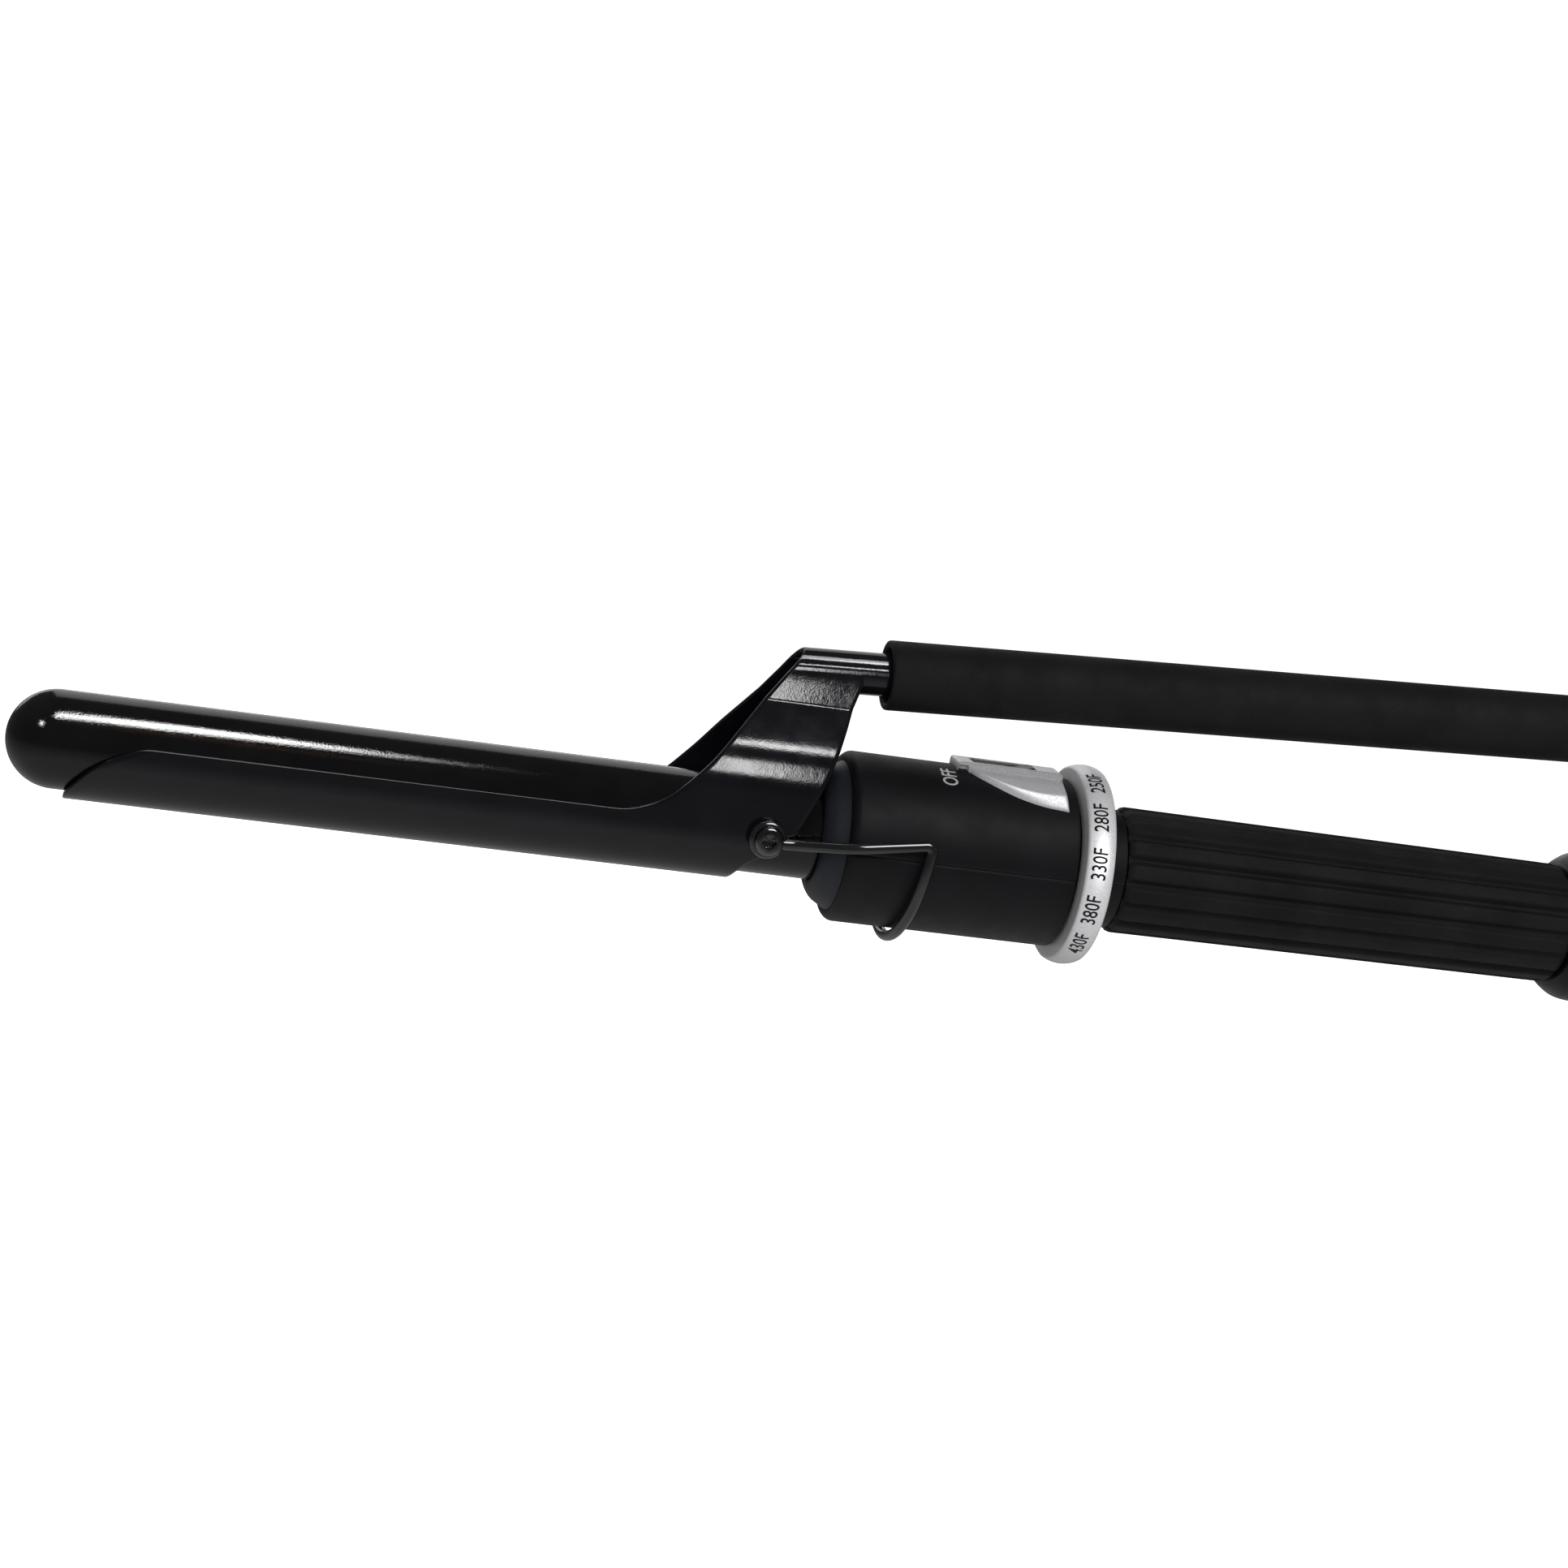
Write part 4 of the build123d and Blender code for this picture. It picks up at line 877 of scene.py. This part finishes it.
def build_rocker():
    """A dished rocker with three grip bars moulded across its low end."""
    hinge = Vector(joints["power_rock"]["pos_m"])
    tilt = radians(4.0)
    half_length, half_width = 6.2, 2.15
    top, bottom = 2.3, -0.4

    def at(along, y, height):
        return hinge + Vector((along * cos(tilt) - height * sin(tilt), y,
                               along * sin(tilt) + height * cos(tilt))) * MM
    lengths = [-half_length, -half_length + 0.06, -half_length + 0.3] + list(np.linspace(-5.6, 5.6, 57))
    lengths += [half_length - 0.3, half_length - 0.06, half_length]
    widths = [-half_width, -half_width + 0.05, -half_width + 0.25] + list(np.linspace(-1.6, 1.6, 9))
    widths += [half_width - 0.25, half_width - 0.05, half_width]
    points, faces = [], []
    for i, along in enumerate(lengths):
        for j, y in enumerate(widths):
            dish = top - 0.6 * (1 - (along / half_length) ** 2)
            bar = sum(0.22 * max(0, 1 - ((along + centre) / 0.28) ** 2) for centre in (3.2, 4.1, 5.0))
            inside = abs(y) < 1.65
            end = min(i, len(lengths) - 1 - i)
            side = min(j, len(widths) - 1 - j)
            drop = (0.3, 0.08, 0)[min(end, 2)] + (0.3, 0.08, 0)[min(side, 2)]
            points.append(at(along, y, dish + (bar if inside else 0) - drop))
    count = len(widths)
    for i in range(len(lengths) - 1):
        faces += [(i * count + k, i * count + k + 1, (i + 1) * count + k + 1, (i + 1) * count + k)
                  for k in range(count - 1)]
    rim = [k for k in range(count)] + [i * count + count - 1 for i in range(1, len(lengths))]
    rim += [(len(lengths) - 1) * count + k for k in range(count - 2, -1, -1)]
    rim += [i * count for i in range(len(lengths) - 2, 0, -1)]
    base = len(points)
    for index in rim:
        i, k = divmod(index, count)
        depth = bottom + (abs(lengths[i]) / half_length) * 1.0
        points.append(at(lengths[i] * 0.99, widths[k] * 0.98, depth))
    for k in range(len(rim)):
        n = (k + 1) % len(rim)
        faces.append((rim[k], rim[n], base + n, base + k))
    faces.append([base + k for k in range(len(rim))])
    make("rocker_cap", points, faces, "power_rocker")


# ---------------------------------------------------------------- dial and lettering
def dial_outline():
    """Outer profile of the dial: a crowned band between two small edge bevels."""
    edge_r = 19.6
    crown = curve([(DIAL_FRONT + 0.3, edge_r + 0.25), ((DIAL_FRONT + DIAL_BACK) / 2, DIAL_R),
                   (DIAL_BACK - 0.3, edge_r + 0.2)], (1, 0.5), (1, -0.6), 10)
    return ([Vector((DIAL_FRONT, edge_r - 0.3)), Vector((DIAL_FRONT + 0.06, edge_r - 0.06))] + crown
            + [Vector((DIAL_BACK - 0.06, edge_r - 0.1)), Vector((DIAL_BACK, edge_r - 0.35))])


def build_dial():
    land, cavity = 1.4, 15.4
    profile = dial_outline()
    profile += [Vector(p) for p in ((DIAL_BACK, NECK_R + 0.05), (DIAL_BACK - land, NECK_R + 0.05),
                                    (DIAL_BACK - land, cavity), (DIAL_FRONT, cavity))]
    make("dial_band", *lathe(profile, 180), "dial_ring")


def lettering(name, text, length, height, weight, wrap):
    """Printed letters: wrap(along, across, lift) gives the place of a point, centred, in millimetres."""
    proud, sunk = 0.035, -0.05
    font = bpy.data.curves.new(name, "FONT")
    font.body = text
    font.offset = weight
    font.extrude = 0.5
    font.resolution_u = 4
    draft = bpy.data.objects.new(name, font)
    bpy.context.collection.objects.link(draft)
    mesh = bpy.data.meshes.new_from_object(draft.evaluated_get(bpy.context.evaluated_depsgraph_get()))
    bpy.data.objects.remove(draft)
    corners = np.array([tuple(vert.co) for vert in mesh.vertices])
    low, high = corners.min(axis=0), corners.max(axis=0)
    work = bmesh.new()
    work.from_mesh(mesh)
    bmesh.ops.remove_doubles(work, verts=work.verts, dist=1e-5)
    for normal, count in (((1, 0, 0), 16), ((0, 1, 0), 6)):
        for k in range(1, count):
            bmesh.ops.bisect_plane(work, geom=work.verts[:] + work.edges[:] + work.faces[:],
                                   plane_co=low + (high - low) * k / count, plane_no=normal)
    bmesh.ops.triangulate(work, faces=work.faces)
    for vert in work.verts:
        along = ((vert.co.x - low[0]) / (high[0] - low[0]) - 0.5) * length
        across = ((vert.co.y - low[1]) / (high[1] - low[1]) - 0.5) * height
        vert.co = wrap(along, across, proud if vert.co.z > 0 else sunk)
    bmesh.ops.recalc_face_normals(work, faces=work.faces)
    work.to_mesh(mesh)
    work.free()
    return mesh


def around(station, angle, size):
    """Wraps letters that read upwards on the near side, their tops towards the tip."""
    def wrap(along, across, lift):
        at_station = station - across
        radial = (size(at_station) if callable(size) else size) + lift
        turn = radians(90 - angle) - along / radial
        return barrel_point(at_station, radial, turn)
    return wrap


# Degrees above the near side at which each figure of the scale is centred
DIAL_SCALE = {"250F": 66.8, "280F": 40.6, "330F": 13.3, "380F": -13.7, "430F": -39.1}


def build_lettering():
    outline = dial_outline()
    middle_station = (DIAL_FRONT + DIAL_BACK) / 2

    def band(at_station):
        return float(np.interp(at_station, [p.x for p in outline], [p.y for p in outline]))
    for text, angle in DIAL_SCALE.items():
        name = "dial_mark_" + text
        mesh = lettering(name, text, 6.3, 3.0, 0.007, around(middle_station - 0.5, angle, band))
        piece = link(name, mesh, BLACK_INK)
        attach(piece, "dial")
    mesh = lettering("off_mark", "OFF", 5.8, 3.2, 0.012, around(35.7, 68.0, HOUSING_R))
    off = link("off_mark", mesh, WHITE_INK)
    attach(off, "handle")


# ---------------------------------------------------------------- handle
FLUTES = 16


def build_lower_grip():
    front, rear = stations("lower_grip")
    bore = 11.3
    r_front, r_back = 12.95, 12.55
    groove_half, groove_depth = 1.3, 1.15
    outside = [(front, r_front - 1.1), (front + 0.25, r_front - 0.75), (front + 0.8, r_front - 0.2),
               (front + 1.5, r_front)]
    for along in np.linspace(front + 2.0, rear - 2.0, 40):
        outside.append((along, r_front + (r_back - r_front) * (along - front) / (rear - front)))
    outside += [(rear - 1.5, r_back), (rear - 0.8, r_back - 0.2), (rear - 0.25, r_back - 0.75),
                (rear, r_back - 1.1)]
    finer = [(front + 2.0 + 0.25 * k, r_front) for k in range(1, 8)]
    outside = sorted(outside + finer + [(rear - 2.0 - 0.25 * k, r_back) for k in range(1, 8)])
    profile = outside + [(rear, bore), (front, bore)]

    def fluted(along, size, turn):
        """Round-bottomed grooves that run out at the bevelled ends."""
        offset = (turn * FLUTES / (2 * pi) + 0.5) % 1 - 0.5
        aside = abs(offset) * 2 * pi * size / FLUTES
        if size < bore + 0.2 or aside >= groove_half:
            return size
        groove = groove_depth * (0.5 + 0.5 * cos(pi * aside / groove_half)) ** 0.8
        return max(size - groove, bore + 0.25)
    make("lower_grip_sleeve", *lathe(profile, FLUTES * 26, shape=fluted), "lower_grip")


def build_pommel():
    front, rear = stations("pommel")
    bulge_r, outlet_r = 16.0, 7.2
    core_back = stations("handle_core")[1]
    face = [Vector((front, 12.3)), Vector((front + 0.1, 12.6))]
    face += curve([(front + 0.25, 12.9), (front + 2.4, 15.0), (front + 8.5, bulge_r), (front + 17.5, 14.6),
                   (rear - 1, 10.8)], (0.3, 1), (1, -0.9), 12)
    face += [Vector(p) for p in ((rear - 0.3, 10.2), (rear, 9.6), (rear, outlet_r + 0.3),
                                 (rear - 0.3, outlet_r), (core_back, outlet_r), (core_back, CORE_R),
                                 (front, CORE_R))]
    make("pommel_cap", *lathe(face, 128), "pommel")


def build_outlet():
    front, rear = stations("swivel_outlet")
    step = stations("pommel")[1] + 0.4
    core_back = stations("handle_core")[1]
    bore, stem_r, throat_r, flange_r = 3.2, 4.5, 7.12, 8.2
    flange_front, flange_back = core_back - 2.4, core_back - 0.4
    profile = [(front, bore)]
    profile += [tuple(p) for p in rounded([(rear - 3, bore), (rear, bore), (rear, 6.2), (step, 7.0),
                                           (step, throat_r), (flange_back, throat_r),
                                           (flange_back, flange_r), (flange_front, flange_r),
                                           (flange_front, stem_r)], 0.8, 5)]
    profile += [(front, stem_r)]

    def ribbed(along, size, turn):
        """Shallow grip ribs round the visible nozzle."""
        if size < 5.9 or along < step + 0.8:
            return size
        return size - 0.18 * (0.5 - 0.5 * cos(24 * turn)) ** 2
    make("cord_outlet", *lathe(profile, 144, shape=ribbed), "swivel_outlet")


build_barrel()
build_clamp()
build_screws()
build_stand()
build_upper_grip()
build_collar()
build_housing()
build_bezel()
build_rocker()
build_dial()
build_lettering()
build_lower_grip()
build_pommel()
build_outlet()


# ---------------------------------------------------------------- floor, light and world
def build_floor():
    """A white floor, measured in metres, that only the camera sees."""
    mesh = bpy.data.meshes.new("floor")
    size, level = 6.0, -0.13
    corners = [(-size, -size, level), (size, -size, level), (size, size, level), (-size, size, level)]
    mesh.from_pydata(corners, [], [(0, 1, 2, 3)])
    material = bpy.data.materials.new("floor")
    material.use_nodes = True
    shader = material.node_tree.nodes["Principled BSDF"]
    shader.inputs["Base Color"].default_value = (0.9, 0.9, 0.9, 1)
    shader.inputs["Emission Color"].default_value = (1, 1, 1, 1)
    shader.inputs["Emission Strength"].default_value = 1.05
    floor = link("floor", mesh, material)
    floor.visible_glossy = False
    floor.visible_diffuse = False
    floor.visible_shadow = False


def build_world(strength_below, strength_above):
    """White to the camera. To everything else it is dim, and dimmer above than below."""
    world = bpy.data.worlds.new("studio")
    bpy.context.scene.world = world
    world.use_nodes = True
    nodes, links = world.node_tree.nodes, world.node_tree.links
    background = nodes["Background"]
    background.inputs["Color"].default_value = (1, 1, 1, 1)
    direction = nodes.new("ShaderNodeTexCoord")
    split = nodes.new("ShaderNodeSeparateXYZ")
    links.new(direction.outputs["Generated"], split.inputs["Vector"])
    fade = nodes.new("ShaderNodeMapRange")
    for socket, number in zip(RANGE_SOCKETS, (-0.6, -0.1, strength_below, strength_above)):
        fade.inputs[socket].default_value = number
    links.new(split.outputs["Z"], fade.inputs["Value"])
    seen = nodes.new("ShaderNodeLightPath")
    strength = nodes.new("ShaderNodeMix")
    strength.inputs["B"].default_value = 1.1
    links.new(seen.outputs["Is Camera Ray"], strength.inputs["Factor"])
    links.new(fade.outputs["Result"], strength.inputs["A"])
    links.new(strength.outputs["Result"], background.inputs["Strength"])


def softbox(name, centre, width, height, radiance, glossy=True, diffuse=True, colour=(1, 1, 1), only=()):
    """A soft light facing the object, as bright as radiance wherever it is seen.

    width and height are in metres. only names the pieces that it lights, where that isn't all."""
    light = bpy.data.lights.new(name, "AREA")
    light.shape = "RECTANGLE"
    light.size, light.size_y = width, height
    light.energy = radiance * pi * width * height
    lamp = bpy.data.objects.new(name, light)
    lamp.location = centre
    lamp.rotation_euler = (place(0, 0, 10) - centre).to_track_quat("-Z", "Y").to_euler()
    light.color = colour
    lamp.visible_glossy = glossy
    lamp.visible_diffuse = diffuse
    bpy.context.collection.objects.link(lamp)
    if only:
        lit = bpy.data.collections.new(name)
        for piece in only:
            lit.objects.link(bpy.data.objects[piece])
        lamp.light_linking.receiver_collection = lit


NEAR_LAMP = 600
MATTE_PIECES = ("housing_top_shell", "housing_bottom_shell", "collar_ring", "upper_grip_sleeve",
                "lower_grip_sleeve")


def above(elevation, distance, station=0.0):
    """A place over the near side, at an elevation seen from the barrel."""
    return place(station, -distance * cos(radians(elevation)), distance * sin(radians(elevation)))


build_floor()
build_world(0.40, 0.07)
softbox("front_wash", above(20, 800, -150), 0.9, 0.7, 1.9, glossy=False)
softbox("back_wash", place(-60, 700, 420), 0.9, 0.7, 1.6, glossy=False)
# The streak on the barrel tapers away from its tip
for station, width, height, radiance in ((-150, 0.06, 0.22, 30.0), (-95, 0.05, 0.17, 30.0),
                                         (-45, 0.05, 0.10, 24.0), (-8, 0.03, 0.05, 8.0)):
    softbox("barrel_streak", above(70, NEAR_LAMP, station), width, height, radiance, only=("barrel_tube",))
softbox("amber_line", above(52, NEAR_LAMP, -88), 0.165, 0.006, 3.5,
        colour=(1.0, 0.5, 0.2), only=("barrel_tube",))
softbox("dome_glint", place(-520, -380, 420), 0.09, 0.09, 30.0, only=("barrel_tube",))
softbox("edge_line", above(80, NEAR_LAMP, -40), 0.5, 0.2, 8.0, only=("clamp_sheet",))
softbox("tube_streak", above(70, NEAR_LAMP, 150), 0.11, 0.09, 14.0, only=("clamp_sheet",))
softbox("ear_glow", above(36, NEAR_LAMP, 122), 0.06, 0.045, 22.0, only=("clamp_sheet",))
softbox("ear_glow_low", above(13, NEAR_LAMP, 106), 0.03, 0.14, 22.0, only=("clamp_sheet",))
softbox("wire_glint", above(62, NEAR_LAMP, 150), 0.4, 0.28, 9.0,
        only=("stand_wire_bent", "pivot_screw_heads"))
softbox("dial_glow", above(24, NEAR_LAMP, 235), 0.36, 0.36, 7.5, only=("dial_band",))
softbox("matte_sheen", above(46, 650, 250), 0.5, 0.36, 1.9, only=MATTE_PIECES)
softbox("bezel_glow", above(82, NEAR_LAMP, 232), 0.20, 0.14, 11.0, only=("switch_bezel_shell",))
softbox("rim_glow", above(141, NEAR_LAMP, -20), 0.42, 0.34, 0.8)
softbox("back_panel", place(60, 700, 150), 1.3, 0.2, 0.9)

bpy.context.scene.view_settings.view_transform = "Standard"
